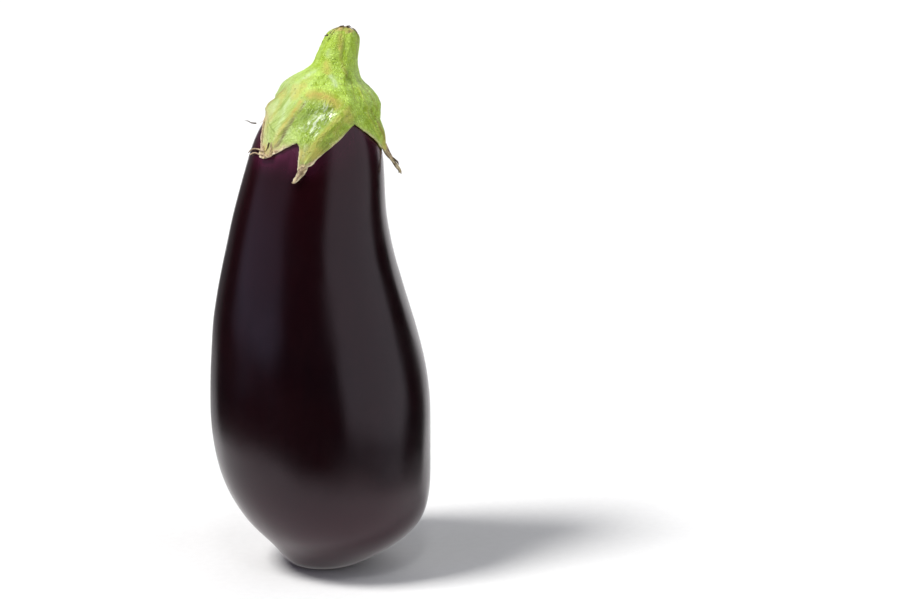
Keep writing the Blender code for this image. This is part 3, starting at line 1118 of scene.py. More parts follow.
@dataclass(frozen=True)
class CorkFinish:
    """The dried cut across the stem: a pale corky face with a dark, torn rim."""

    pith: tuple = (0.66, 0.48, 0.23)
    ring: tuple = (0.36, 0.21, 0.080)
    dark: tuple = (0.060, 0.034, 0.014)
    fine: Mottle = Mottle(0.0012, 0.0, 4.0)
    cells: Crackle = Crackle(0.0008, 0.35)
    ring_turns: float = 22.0
    ring_waver: float = 0.8
    ring_range: tuple = (-0.6, 1.2)
    rim_waver: float = 0.35
    rim_range: tuple = (0.72, 1.12)
    layers: tuple = (Layer("ring", "rings", first=0.55), Layer("dark", "torn"))
    roughness: float = 0.75
    rough_weights: tuple = (("fine", 0.15),)
    bump_strength: float = 0.8
    cell_weight: float = 0.5
    depth: float = 0.0003

    def make(self, effects: Effects) -> Material:
        """Builds the material.

        Args:
            effects: The shared effects.

        Returns:
            The material.
        """
        sheet = FinishSheet("cut_cork_finish", effects)
        rim = sheet.attribute("rim")
        fine = sheet.pattern(self.fine)
        wave = sheet.math("SINE", sheet.times(rim, self.ring_turns))
        rings = sheet.math("MULTIPLY_ADD", fine, self.ring_waver, wave)
        torn = sheet.math("MULTIPLY_ADD", fine, self.rim_waver, rim)
        masks = {
            "fine": fine,
            "rings": sheet.ramp(rings, *self.ring_range),
            "torn": sheet.ramp(torn, *self.rim_range),
        }
        height = sheet.math("MULTIPLY_ADD", sheet.pattern(self.cells), self.cell_weight, fine)
        return sheet.dress({
            "Base Color": sheet.layered(self.pith, self.layers, masks, vars(self)),
            "Roughness": sheet.weighted(self.rough_weights, masks, self.roughness),
            "Normal": sheet.bump(self.bump_strength, self.depth, height),
        })


@dataclass(frozen=True)
class HuskFinish:
    """Dry threads: pale tan to brown, matt, with fibres along them."""

    pale: tuple = (0.58, 0.44, 0.27)
    brown: tuple = (0.085, 0.050, 0.025)
    fine: Mottle = Mottle(0.0012, 0.0, 4.0)
    brown_weights: tuple = (("dark", 0.8), ("fine", 0.5))
    brown_range: tuple = (0.1, 0.95)
    roughness: float = 0.72
    rough_weights: tuple = (("fine", 0.15),)
    bump_strength: float = 0.6
    depth: float = 0.00015

    def make(self, effects: Effects) -> Material:
        """Builds the material.

        Args:
            effects: The shared effects.

        Returns:
            The material.
        """
        sheet = FinishSheet("dry_husk_finish", effects)
        masks = {"dark": sheet.attribute("dark"), "fine": sheet.pattern(self.fine)}
        share = sheet.ramp(sheet.weighted(self.brown_weights, masks), *self.brown_range)
        return sheet.dress({
            "Base Color": sheet.mix(share, self.pale, self.brown),
            "Roughness": sheet.weighted(self.rough_weights, masks, self.roughness),
            "Normal": sheet.bump(self.bump_strength, self.depth, masks["fine"]),
        })


# The fruit's skin.

@dataclass
class FruitSkin:
    """The skin over the fruit: the solid's outline, finer, with slow dents and the blossom scar beneath."""

    form: FruitForm
    finish: SkinFinish = SkinFinish()
    ring_count: int = 170
    segment_count: int = 240
    ring_crowding: float = 0.018
    foot_shares: tuple = (0.92, 0.80, 0.66, 0.52, 0.42, 0.36, 0.30, 0.24, 0.16, 0.08)
    dent_depth: float = 0.00024
    dent_stretch: tuple = (1.0, 1.0, 0.55)
    slow_dents: SoftNoise = SoftNoise(0.022, 3.0)
    fine_dents: SoftNoise = SoftNoise(0.0088, 5.0)
    fine_share: float = 0.38
    dents_from: tuple = (0.0, 0.012)
    scar_radius: float = 0.0042
    scar_depth: float = 0.0007
    scar_edge: float = 1.25
    scar_ease: float = 0.35
    scar_rays: int = 5
    scar_waver: float = 0.15
    scar_from: tuple = (0.003, -0.002)
    halo_reach: float = 0.0048
    halo_lowest: float = 0.13
    halo_from: tuple = (0.1635, 0.011)
    halo_right_from: tuple = (-0.002, 0.006)
    halo_under_from: tuple = (0.194, -0.010)
    halo_right_loss: float = 0.65

    def skin_rows(self) -> Array:
        """Lays out the skin.

        Returns:
            The points, ring by ring from the flat spot to the top.
        """
        shares = np.arange(self.ring_count) / self.ring_count
        shares = shares + self.ring_crowding * np.sin(2 * np.pi * shares)
        angles = np.arange(self.segment_count) * 360 / self.segment_count
        profile = self.form.profile(shares)
        radius, height, shift_x, shift_y = (profile[:, i, None] for i in range(4))
        height[0] = 0.0
        radius = radius * self.form.swell(angles[None, :], height)
        return placed(radius, height, shift_x, shift_y, angles[None, :])

    def foot_rows(self, rim: Array) -> Array:
        """Lays out the flat spot, dimpled at the scar in its middle.

        Args:
            rim: The points round it.

        Returns:
            The points, ring by ring from the rim inward.
        """
        rows = rim[None] * np.array(self.foot_shares)[:, None, None]
        reach = np.linalg.norm(rows[..., :2], axis=-1)
        rows[..., 2] = self.scar_depth * smooth_step(1 - reach / self.scar_radius)
        return rows

    def dents(self, points: Array) -> Array:
        """How far the skin stands out of its outline: slow swellings and faint long flats.

        Args:
            points: Points on the outline.

        Returns:
            Metres for each.
        """
        stretched = points * self.dent_stretch
        waves = self.slow_dents.at(stretched) + self.fine_share * self.fine_dents.at(stretched)
        return self.dent_depth * waves * step_from(points[:, 2], *self.dents_from)

    def make(self, effects: Effects, calyx_rim: Array) -> bpy.types.Object:
        """Builds and dresses the skin.

        Args:
            effects: The shared effects.
            calyx_rim: Points along the calyx's margins, which shade the skin near them.

        Returns:
            The skin, standing for the fruit's solid.
        """
        parts = MeshParts()
        rows = self.skin_rows()
        rings = [parts.add(row) for row in rows]
        parts.rings(rings)
        top = self.form.profile(np.array([1.0]))[0]
        parts.fan(rings[-1][::-1], parts.add(np.array([top[2], top[3], top[1]]))[0])
        foot = [rings[0]] + [parts.add(row) for row in self.foot_rows(rows[0])]
        parts.rings([f[::-1] for f in foot])
        parts.fan(foot[-1], parts.add(np.array([0.0, 0.0, self.scar_depth]))[0])
        points = parts.all_points()
        normals = point_normals(points, parts.faces)
        points = points + normals * self.dents(points)[:, None]
        masks = {"halo": self.halo(points, calyx_rim), "scar": self.scar(points)}
        skin = parts.make("fruit_skin", points, [self.finish.make(effects)], masks)
        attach(skin, "root")
        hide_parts("fruit")
        return skin

    def halo(self, points: Array, calyx_rim: Array) -> Array:
        """How far the calyx shaded the skin, less under the right sepals.

        Args:
            points: The skin's points.
            calyx_rim: Points along the calyx's margins.

        Returns:
            1 at the margins, fading out down the neck.
        """
        x, height = points[:, 0], points[:, 2]
        gaps = nearest_gaps(points, calyx_rim, height >= self.halo_lowest)
        right = step_from(x, *self.halo_right_from) * step_from(height, *self.halo_under_from)
        near = np.exp(-gaps / self.halo_reach)
        return near * step_from(height, *self.halo_from) * (1 - self.halo_right_loss * right)

    def scar(self, points: Array) -> Array:
        """Where the blossom scar is, a rayed disc under the fruit.

        Args:
            points: The skin's points.

        Returns:
            1 in the scar and 0 outside it.
        """
        turn = np.arctan2(points[:, 0], points[:, 1])
        reach = np.hypot(points[:, 0], points[:, 1]) * (1 + self.scar_waver * np.sin(self.scar_rays * turn))
        low = step_from(points[:, 2], *self.scar_from)
        return low * step_from(reach, self.scar_edge * self.scar_radius, -self.scar_ease * self.scar_radius)


# The calyx and stem.

@dataclass(frozen=True)
class Fold:
    """A line on the calyx, in millimetres: its points, how far it stands up, its width and its colours.

    The colours are shares: tan ridge, brown crease, pale bloom and painted highlight, deep green and a
    wet-looking gloss.
    """

    points: tuple
    height: float
    width: float
    ridge: float = 0.0
    crease: float = 0.0
    bloom_and_painted_highlight: float = 0.0
    green: float = 0.0
    gloss: float = 0.0


FOLDS = (
    # The arch over the sunk web, and on down the front sepal as its midrib.
    Fold(((-3.6, -17.3, 194.9), (0, -16.3, 197), (4, -16.5, 196.4), (8, -17.7, 194.3),
          (11.8, -19.3, 191.2)), 0.55, 2.3, 1),
    Fold(((11.8, -19.3, 191.2), (10.5, -21, 188.8), (7.2, -23, 186.2), (3.3, -26.1, 181.7),
          (-0.2, -27.6, 178), (-3, -28.7, 173)), 0.40, 1.3, 0.62),
    # The crease down the left of the web, with a tan ridge on its outer side.
    Fold(((-2.2, -16.9, 196), (-5, -19.4, 191.6), (-9.1, -20.6, 186.3), (-12.6, -22.5, 180),
          (-15.6, -22.4, 176)), -0.35, 0.55, 0, 0.85),
    Fold(((-3.8, -16, 196.6), (-6.6, -18.4, 191.7), (-10.6, -19.8, 186.6), (-14.3, -21.6, 179.6),
          (-16.6, -21.4, 176.2)), 0.35, 1.2, 0.95),
    # The left sepal's outer ridge.
    Fold(((-11.8, -8.4, 197.4), (-14.6, -10, 192.2), (-17.4, -12.6, 186), (-18.8, -14.8, 180.6)),
          0.25, 1.2, 0.65),
    # The right sepal's rib, and the stem's olive rib.
    Fold(((16.5, -3.6, 200.7), (18.7, -8.9, 196.1), (21, -10, 188.3), (24.1, -9.4, 182.3),
          (26.9, -5.2, 175.4)), 0.40, 0.8, 0.36),
    Fold(((11, 0.5, 219), (10.7, -2.5, 214.8), (10.3, -3.9, 210.2), (12.3, -6.7, 204.6),
          (12.8, -8.5, 201.6)), 0.30, 0.7, 0.35, 0.45),
    # Thin brown lines down the right sepal and from the stem's foot, and the front sepal's olive side.
    Fold(((19.6, -10, 194.2), (22.2, -7.6, 190), (24.5, -7.4, 185.3), (26, -6.6, 181.3),
          (27.5, -4, 176.2)), 0.18, 0.42, 0.20, 0.48),
    Fold(((13.3, -5.2, 204.8), (14.3, -6.1, 201.7), (15.2, -9, 198.9), (15.9, -12.5, 196.1),
          (17.3, -14, 192.4)), -0.16, 0.45, 0, 0.42),
    Fold(((15.1, -17.1, 191.1), (12.4, -20.1, 188), (9.8, -22.5, 184.7), (7.1, -24.8, 181.9)),
          0.12, 1.2, 0.45, 0.10),
    Fold(((17.7, -2.6, 199.8), (20.1, -3.1, 197.4), (22.5, -4, 194.4), (23.8, -4.3, 191.2),
          (24.4, -4.4, 188.4)), 0.10, 0.8, 0.20, 0.30),
    # Wrinkles across the web.
    Fold(((2, -18, 193.8), (4.6, -18.7, 192.9), (7, -19.6, 190.2)), 0.22, 0.42),
    Fold(((-1, -19.2, 191.4), (2.5, -19.9, 189.5), (5.5, -21.6, 187.2)), 0.26, 0.42),
    Fold(((-3.2, -21, 188.2), (0, -22.7, 185.6), (3, -24.4, 183.6)), 0.28, 0.42),
    Fold(((-5.2, -22.4, 185.4), (-2.5, -24.7, 181.9), (0.2, -26.4, 180)), 0.22, 0.42),
    Fold(((-8.4, -22.4, 184.2), (-5.6, -24, 181.4), (-4.4, -25.4, 178.6)), 0.20, 0.42),
    # The stem's dark hollow, its left side lightened with painted light, and painted highlights round its foot.
    Fold(((12.2, -0.6, 218.6), (12, -2.2, 214.8), (11.8, -3.4, 211), (12.3, -4.7, 207.1),
          (13.1, -6.4, 203.4), (14, -9.3, 199.7)), -0.12, 1.5, green=0.55),
    Fold(((7.4, -0.6, 219.4), (5.7, 1.6, 219.2), (3.7, 1.4, 216.1), (2.1, 1, 212.9), (0.9, 0.5, 209.8),
          (-0.2, -1.6, 206.8)), 0, 1.7, bloom_and_painted_highlight=0.32),
    Fold(((-4.6, -8.4, 202), (-2.7, -6.4, 203.8), (-0.8, -5.6, 204.9), (1.2, -5.6, 205.7)),
          0, 1.6, bloom_and_painted_highlight=0.85),
    Fold(((5.2, -8.6, 204.2), (6.5, -9.5, 203.3), (7.8, -10.9, 201.5), (9, -12.8, 199.3)),
          0.10, 0.95, bloom_and_painted_highlight=1),
    # Pale veins down the left sepal, with painted highlight along them.
    Fold(((-7.4, -12, 197.8), (-10, -12.4, 194.5), (-11.8, -15, 190.1), (-13.6, -18.4, 185.8),
          (-15, -20.6, 182.1)), 0.10, 0.8, bloom_and_painted_highlight=0.55),
    Fold(((-14, -5.8, 194.6), (-15.9, -8.7, 190.1), (-17.5, -13.3, 185.9), (-18.4, -17.3, 181.7),
          (-18.3, -20, 178.5)), 0.16, 0.7, 0.25, 0, 0.55),
    # The web's gloss, the stem's tan band and patches with a patch of painted light on its left, and its brown
    # right edge.
    Fold(((7.6, -18.4, 193.8), (5.6, -18.9, 191.6), (3.4, -20.1, 189.2), (0.4, -22.7, 185.6),
          (-2, -24.4, 182.4)), 0, 3, gloss=1),
    Fold(((9.6, -0.6, 220.4), (9.8, -0.9, 219.5), (9.9, -2.2, 216), (9.9, -3.3, 212.6)),
          0.06, 1.1, 0.72, 0.12),
    Fold(((3.6, -5, 209.2), (4.4, -4.8, 207.9), (4.9, -7.2, 205.8), (4.2, -9.1, 204)), 0, 1.5, 0.70),
    Fold(((5.1, -2.6, 214), (5.1, -3.2, 212.1), (5.1, -4.2, 209.9)), 0, 1.2, bloom_and_painted_highlight=0.7),
    Fold(((16.3, 4.9, 219.6), (16.5, 3.7, 215.9), (16.4, 2.8, 212.8), (16.3, 2.9, 208.8)),
          0.08, 0.55, 0.3, 0.55),
    Fold(((5, 0.6, 219.6), (6.6, 0.2, 220.6), (8.2, 0.4, 221.3), (10, 1.2, 221.8)),
          0, 1.3, 0.55, 0, 0.55),
    # The left sepal's brown outer edge, and the right one's dry side.
    Fold(((-10.6, -4.8, 199.2), (-13, -4.2, 196.4), (-15.4, -3.6, 193.4), (-17.2, -4, 190.4),
          (-18.6, -4.6, 188)), 0.20, 0.75, 0.9, 0.45),
    Fold(((24.4, -7.2, 186.4), (25.3, -6.9, 183.9), (26.4, -6.1, 180.6), (27.5, -4.1, 177.1),
          (28.2, -3.8, 174)), 0.10, 0.9, 0.75, 0.25),
    # Streaks down the front sepal.
    Fold(((10.5, -21.8, 185.4), (6.8, -24.8, 183.1), (3, -27.1, 179.9), (-0.5, -28.2, 176.1),
          (-3.3, -28.9, 172.3)), -0.16, 0.6, green=0.8),
    Fold(((-2.2, -26.2, 179.6), (-3.3, -27.2, 175.8), (-4.1, -28.1, 172.6)), 0.10, 0.7, 0.2, 0, 0.6),
)
# Slow swellings: middle, reach and height in millimetres.
SWELLS = (
    ((-17, -2.4, 190.4), 9.2, 2.3),
    ((25, -2, 188), 6.5, 0.9),
    ((27, -4.5, 181), 6, 0.6),
)
# Rubbed patches where the green has gone tan: middle and radius in millimetres, and how tan.
RUBS = (
    ((-6.8, -12, 198.4), 3.4, 0.55),
    ((-12.6, -6.8, 196.4), 2.6, 0.60),
    ((-19, -20, 175.5), 2.6, 0.75),
    ((2.2, -27, 174.5), 3, 0.60),
    ((13.6, -18.6, 189), 2.6, 0.60),
    ((6, -8, 211), 1.4, 0.45),
    ((7.6, -6, 215.5), 1.3, 0.40),
    ((4.4, -6.8, 206.4), 1.9, 0.60),
    ((-3.2, -8.8, 201.8), 2.2, 0.25),
    ((27.8, -3.6, 175.2), 3.2, 0.80),
    ((-3.8, -27.8, 174), 2.2, 0.60),
    ((9, 9.5, 206), 2.6, 0.45),
    ((16, 12, 193), 2.2, 0.35),
    ((-13, 14, 195), 2.8, 0.40),
)


@dataclass
class Calyx:
    """The calyx and the stem it grew on: one cap over the neck, parted into six sepals, cut across on top.

    Places across a sepal run from -1 to 1 and along it from 0 to 1. Levels are shares of the stem's height.
    """

    form: FruitForm
    finish: SepalFinish = SepalFinish()
    cork: CorkFinish = CorkFinish()
    columns: int = 44
    cap_rings: int = 120
    sepal_rows: int = 46
    lining_rings: int = 8
    cut_shares: tuple = (0.9, 0.78, 0.64, 0.5, 0.36, 0.22, 0.1)
    gap: float = 0.00012
    thickness: float = 0.0013
    edge_thickness: float = 0.0006
    least_wall: float = 0.0009
    thin_power: int = 8
    thin_loss: float = 0.45
    thin_from: tuple = (0.0, 0.08)
    rib_height: float = 0.0013
    rib_width: float = 0.30
    rib_loss: float = 0.6
    web_from: tuple = (0.25, 0.6)
    web_top_from: tuple = (0.880, -0.02)
    web_foot_from: tuple = (0.815, 0.03)
    stem_level_from: tuple = (0.90, 0.05)
    stem_rib_height: float = 0.0006
    stem_rib_width: float = 0.45
    stem_rib_base: float = 0.4
    settle_from: tuple = (0.82, 0.18)
    lobe_radius: float = 0.6 * BELLY_RADIUS
    edge_lift: float = 0.0005
    edge_waves: float = 2.5
    edge_shift: float = 2.1
    edge_power: int = 4
    edge_from: tuple = (0.0, 0.25)
    ragged: float = 0.00055
    ragged_power: int = 7
    ragged_from: tuple = (0.0, 0.12)
    ragged_least: float = 0.35
    bites: SoftNoise = SoftNoise(0.0019, 2.0, 2)
    bite_places: tuple = (0.02, 0.4, 0.07)
    tip_round: float = 0.1
    twist: float = 26.0
    twist_to: float = 0.93
    cut_slope: tuple = (0.06, 0.38)
    cut_swell: float = 0.0012
    cut_reach: float = 0.065

    def column_table(self) -> tuple[Array, Array]:
        """Each column's sepal number and its place across it, -1 to 1."""
        across = np.linspace(-1, 1, self.columns + 1)[:-1]
        return np.repeat(np.arange(len(SEPALS)), self.columns), np.tile(across, len(SEPALS))

    def notch_line(self, sepal: Array, across: Array) -> tuple[Array, Array]:
        """Reads the line through the notches.

        Args:
            sepal: Sepal numbers.
            across: Places across.

        Returns:
            Its angles and heights there.
        """
        angles = np.array([n.angle for n in NOTCHES])
        heights = np.array([n.height for n in NOTCHES])
        after = (np.asarray(sepal) + 1) % len(NOTCHES)
        share = (across + 1) / 2
        turn = (angles[after] - angles[sepal]) % 360
        return angles[sepal] + turn * share, heights[sepal] + (heights[after] - heights[sepal]) * share

    def rib_place(self, sepal: Array, across: Array) -> Array:
        """A place across a sepal measured from its midrib: 0 on the rib, -1 and 1 at the notches."""
        rib = np.array([s.rib for s in SEPALS])[sepal]
        return np.where(across < rib, (across - rib) / (1 + rib), (across - rib) / (1 - rib))

    def relief(self, sepal: Array, across: Array, along: Array) -> tuple[Array, Array]:
        """How a sepal's midrib and the webs beside it stand.

        Args:
            sepal: Sepal numbers.
            across: Places across.
            along: Places along them.

        Returns:
            How far the midrib stands up, and how far the web sinks.
        """
        place = self.rib_place(sepal, across)
        rib = self.rib_height * np.exp(-((place / self.rib_width) ** 2)) * (1 - self.rib_loss * along)
        sinks = np.array([n.sink for n in NOTCHES])
        sink = np.where(place < 0, sinks[sepal], sinks[(np.asarray(sepal) + 1) % len(NOTCHES)])
        return rib, sink * step_from(np.abs(place), *self.web_from)

    def sepal_sheet(self, sepal: int, across: Array, along: Array) -> tuple:
        """Lays out a free lobe's inner side over the skin.

        Args:
            sepal: The sepal's number.
            across: Places across.
            along: Places along.

        Returns:
            Angles, heights and how far they stand off the skin.
        """
        shape = SEPALS[sepal]
        left_angle, left_height = self.notch_line(sepal, -1.0)
        right_angle, right_height = self.notch_line(sepal, 1.0)
        half_tip = np.degrees(0.5 * shape.tip_width / self.lobe_radius)
        blade = np.clip(along / shape.blade, 0, 1)
        left = left_angle + (shape.tip_angle - half_tip - left_angle) * blade**shape.left_fullness
        right = right_angle + (shape.tip_angle + half_tip - right_angle) * blade**shape.right_fullness
        left = left + np.interp(along, *zip(*shape.left_bends))
        right = right + np.interp(along, *zip(*shape.right_bends))
        share = (across + 1) / 2
        angle = left + (right - left) * share
        rough = np.degrees(self.raggedness(sepal, across, along) / self.lobe_radius)
        angle = angle + rough * np.sign(across) * np.abs(across) ** self.ragged_power
        start = left_height + (right_height - left_height) * share
        round_end = self.tip_round * shape.tip_width * across**2 * along**4
        height = start + (shape.tip_height - start) * along + round_end
        lift = shape.lift * step_from(along, shape.lift_from, 1 - shape.lift_from) ** 1.5
        wave = 0.5 + 0.5 * np.sin(2 * np.pi * self.edge_waves * along + self.edge_shift * sepal + across)
        edge = self.edge_lift * wave * across**self.edge_power * step_from(along, *self.edge_from)
        return angle, height, lift + edge

    def raggedness(self, sepal: int, across: Array, along: Array) -> Array:
        """Small bites in a lobe's margins that grow toward the dry tip.

        Args:
            sepal: The sepal's number.
            across: Places across.
            along: Places along.

        Returns:
            How far the margins stand out or in, in metres.
        """
        step, side, lobe = self.bite_places
        places = along * step, np.where(across < 0, 0.0, side), lobe * sepal + 0 * along
        flat = np.stack(np.broadcast_arrays(*places), axis=-1).reshape(-1, 3)
        bites = self.bites.at(flat).reshape(along.shape)
        growth = self.ragged_least + (1 - self.ragged_least) * along
        return self.ragged * bites * step_from(along, *self.ragged_from) * growth

    def sepal_side(self, sepal: int, inner: bool) -> Array:
        """Lays out one side of a free lobe.

        Args:
            sepal: The sepal's number.
            inner: True for the side on the skin.

        Returns:
            The points, in rows from below the notch line to the tip.
        """
        steps = np.arange(1, self.sepal_rows + 1) / self.sepal_rows
        across, along = np.meshgrid(np.linspace(-1, 1, self.columns + 1), steps)
        angle, height, off = self.sepal_sheet(sepal, across, along)
        off = off + self.gap
        if not inner:
            rib, _ = self.relief(sepal, across, along)
            margin = np.abs(across) ** self.thin_power
            body = self.thickness - smooth_step(along) * (self.thickness - self.edge_thickness)
            body = body * (1 - self.thin_loss * margin * step_from(along, *self.thin_from))
            off = off + body + rib * (1 - self.rib_loss * margin)
        return self.form.on_skin(angle, height, off)

    def cap(self, sepal: Array, across: Array, share: Array) -> Array:
        """Lays out the outside above the notch line.

        Args:
            sepal: Sepal numbers.
            across: Places across.
            share: 0 at the cut end and 1 on the line.

        Returns:
            The points.
        """
        rows = outline_rows(CALYX_OUTLINE, STEM_HEIGHT)[::-1]
        line_angle, line_height = self.notch_line(sepal, across)
        height = STEM_HEIGHT + (line_height - STEM_HEIGHT) * share
        found = natural_spline(rows[:, 1], rows[:, [0, 2, 3]], height.ravel()).reshape(*height.shape, 3)
        radius, shift_x, shift_y = (found[..., i] for i in range(3))
        level = height / STEM_HEIGHT
        line_level = line_height / STEM_HEIGHT
        untwisted = np.clip((self.twist_to - level) / (self.twist_to - line_level), 0, 1)
        angle = line_angle + self.twist * (1 - untwisted**2)
        up = step_from(level, *self.stem_level_from)
        rib, sink = self.relief(sepal, across, 0.0)
        sink = sink * step_from(level, *self.web_top_from) * step_from(level, *self.web_foot_from)
        bell = np.exp(-((self.rib_place(sepal, across) / self.stem_rib_width) ** 2))
        stem_rib = self.stem_rib_height * (bell - self.stem_rib_base)
        free = placed(radius + stem_rib * up + (rib - sink) * (1 - up), height, shift_x, shift_y, angle)
        free = self.form.over_skin(free, self.gap + self.least_wall)
        lying = self.form.on_skin(angle, height, self.gap + self.thickness + rib)
        settle = step_from(share, *self.settle_from)[..., None]
        point = free * (1 - settle) + lying * settle
        cut = step_from(level, 1 - self.cut_reach, self.cut_reach)
        fall = self.cut_slope[0] * (point[..., 0] - shift_x) + self.cut_slope[1] * (point[..., 1] - shift_y)
        point[..., 2] -= cut * fall
        return point

    def lining(self, sepal: Array, across: Array) -> list[Array]:
        """Lays out the inside above the notch line, which follows the top of the fruit.

        Args:
            sepal: Sepal numbers.
            across: Places across.

        Returns:
            The points ring by ring, from the notch line up.
        """
        angle, height = self.notch_line(sepal, across)
        neck = self.form.neck
        steps = np.linspace(0, 1, len(neck))
        start = np.interp(height, neck[:, 1], steps)
        rings = []
        for share in np.linspace(0, 1, self.lining_rings + 1)[:-1]:
            place = start + (1 - start) * share
            row = [np.interp(place, steps, neck[:, i]) for i in range(6)]
            radius = row[0] * self.form.swell(angle, row[1]) + self.gap * row[4]
            rings.append(placed(radius, row[1] + self.gap * row[5], row[2], row[3], angle))
        return rings

    def make(self, effects: Effects) -> tuple[bpy.types.Object, Array]:
        """Builds and dresses the calyx.

        Args:
            effects: The shared effects.

        Returns:
            The calyx, standing for its solid, and the points along its margins.
        """
        parts = MeshParts()
        sepal, across = self.column_table()
        turn = self.notch_line(sepal, across)[0]
        shares = np.linspace(0, 1, self.cap_rings + 1)
        rows = [self.cap(sepal, across, np.full(len(sepal), share)) for share in shares]
        marks = {"outside": 1.0, "turn": turn, "sepal": sepal}
        rings = [parts.add(row, along=share - 1, **marks) for row, share in zip(rows, shares)]
        parts.rings(rings[::-1])
        self.close_cut(parts, rings[0], rows[0], turn)
        inner = [parts.add(row) for row in self.lining(sepal, across)]
        parts.rings(inner[::-1])
        top = self.form.neck[-1]
        parts.fan(inner[-1], parts.add(np.array([top[2], top[3], top[1] + self.gap]))[0])
        margins = np.vstack([self.add_sepal(parts, k, rings[-1], inner[0]) for k in range(len(SEPALS))])
        points, masks = CalyxSurface().dress(parts, margins)
        calyx = parts.make("calyx", points, [self.finish.make(effects), self.cork.make(effects)], masks)
        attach(calyx, "root")
        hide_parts("calyx_and_stem")
        return calyx, margins

    def close_cut(self, parts: MeshParts, rim: Array, rim_points: Array, turn: Array) -> None:
        """Closes the cut end with a slightly swollen corky face inside its rim.

        Args:
            parts: The mesh being gathered.
            rim: Numbers of the points round the cut.
            rim_points: Those points.
            turn: Their angles.
        """
        middle = rim_points.mean(axis=0)
        outer = rim
        for share in self.cut_shares:
            ring = middle + (rim_points - middle) * share
            ring[:, 2] += self.cut_swell * (1 - share**2)
            inner = parts.add(ring, along=-1.0, outside=1.0, turn=turn, cork=share)
            parts.rings([outer, inner], 1)
            outer = inner
        centre = parts.add(middle + (0, 0, self.cut_swell), along=-1.0, outside=1.0, cork=0.01)[0]
        parts.fan(outer[::-1], centre, 1)

    def add_sepal(self, parts: MeshParts, k: int, cap_ring: Array, lining_ring: Array) -> Array:
        """Adds one free lobe with both its sides and the margin that joins them.

        Args:
            parts: The mesh being gathered.
            k: The sepal's number.
            cap_ring: Numbers of the outside's points on the notch line.
            lining_ring: Numbers of the inside's points on the notch line.

        Returns:
            The points along the lobe's margins and tip.
        """
        picked = [(k * self.columns + i) % len(cap_ring) for i in range(self.columns + 1)]
        across = np.linspace(-1, 1, self.columns + 1)
        turn = self.notch_line(k, across)[0]
        sides = []
        for outside, start in ((1.0, cap_ring), (0.0, lining_ring)):
            rows = self.sepal_side(k, outside == 0)
            numbers = [start[picked]]
            for i, row in enumerate(rows):
                along = (i + 1) / self.sepal_rows
                numbers.append(parts.add(row, along=along, edge=across, outside=outside, turn=turn, sepal=k))
            sides.append(numbers)
        outer, inner = sides
        for a, b, c, d in zip(outer, outer[1:], inner, inner[1:]):
            for i in range(self.columns):
                parts.face((a[i], b[i + 1], a[i + 1]))
                parts.face((a[i], b[i], b[i + 1]))
                parts.face((c[i + 1], d[i + 1], c[i]))
                parts.face((c[i], d[i + 1], d[i]))
            parts.face((a[0], c[0], d[0], b[0]))
            parts.face((b[-1], d[-1], c[-1], a[-1]))
        tip, under = outer[-1], inner[-1]
        for i in range(self.columns):
            parts.face((tip[i], under[i], under[i + 1], tip[i + 1]))
        return np.vstack((rows[:, 0], rows[:, -1], rows[-1]))


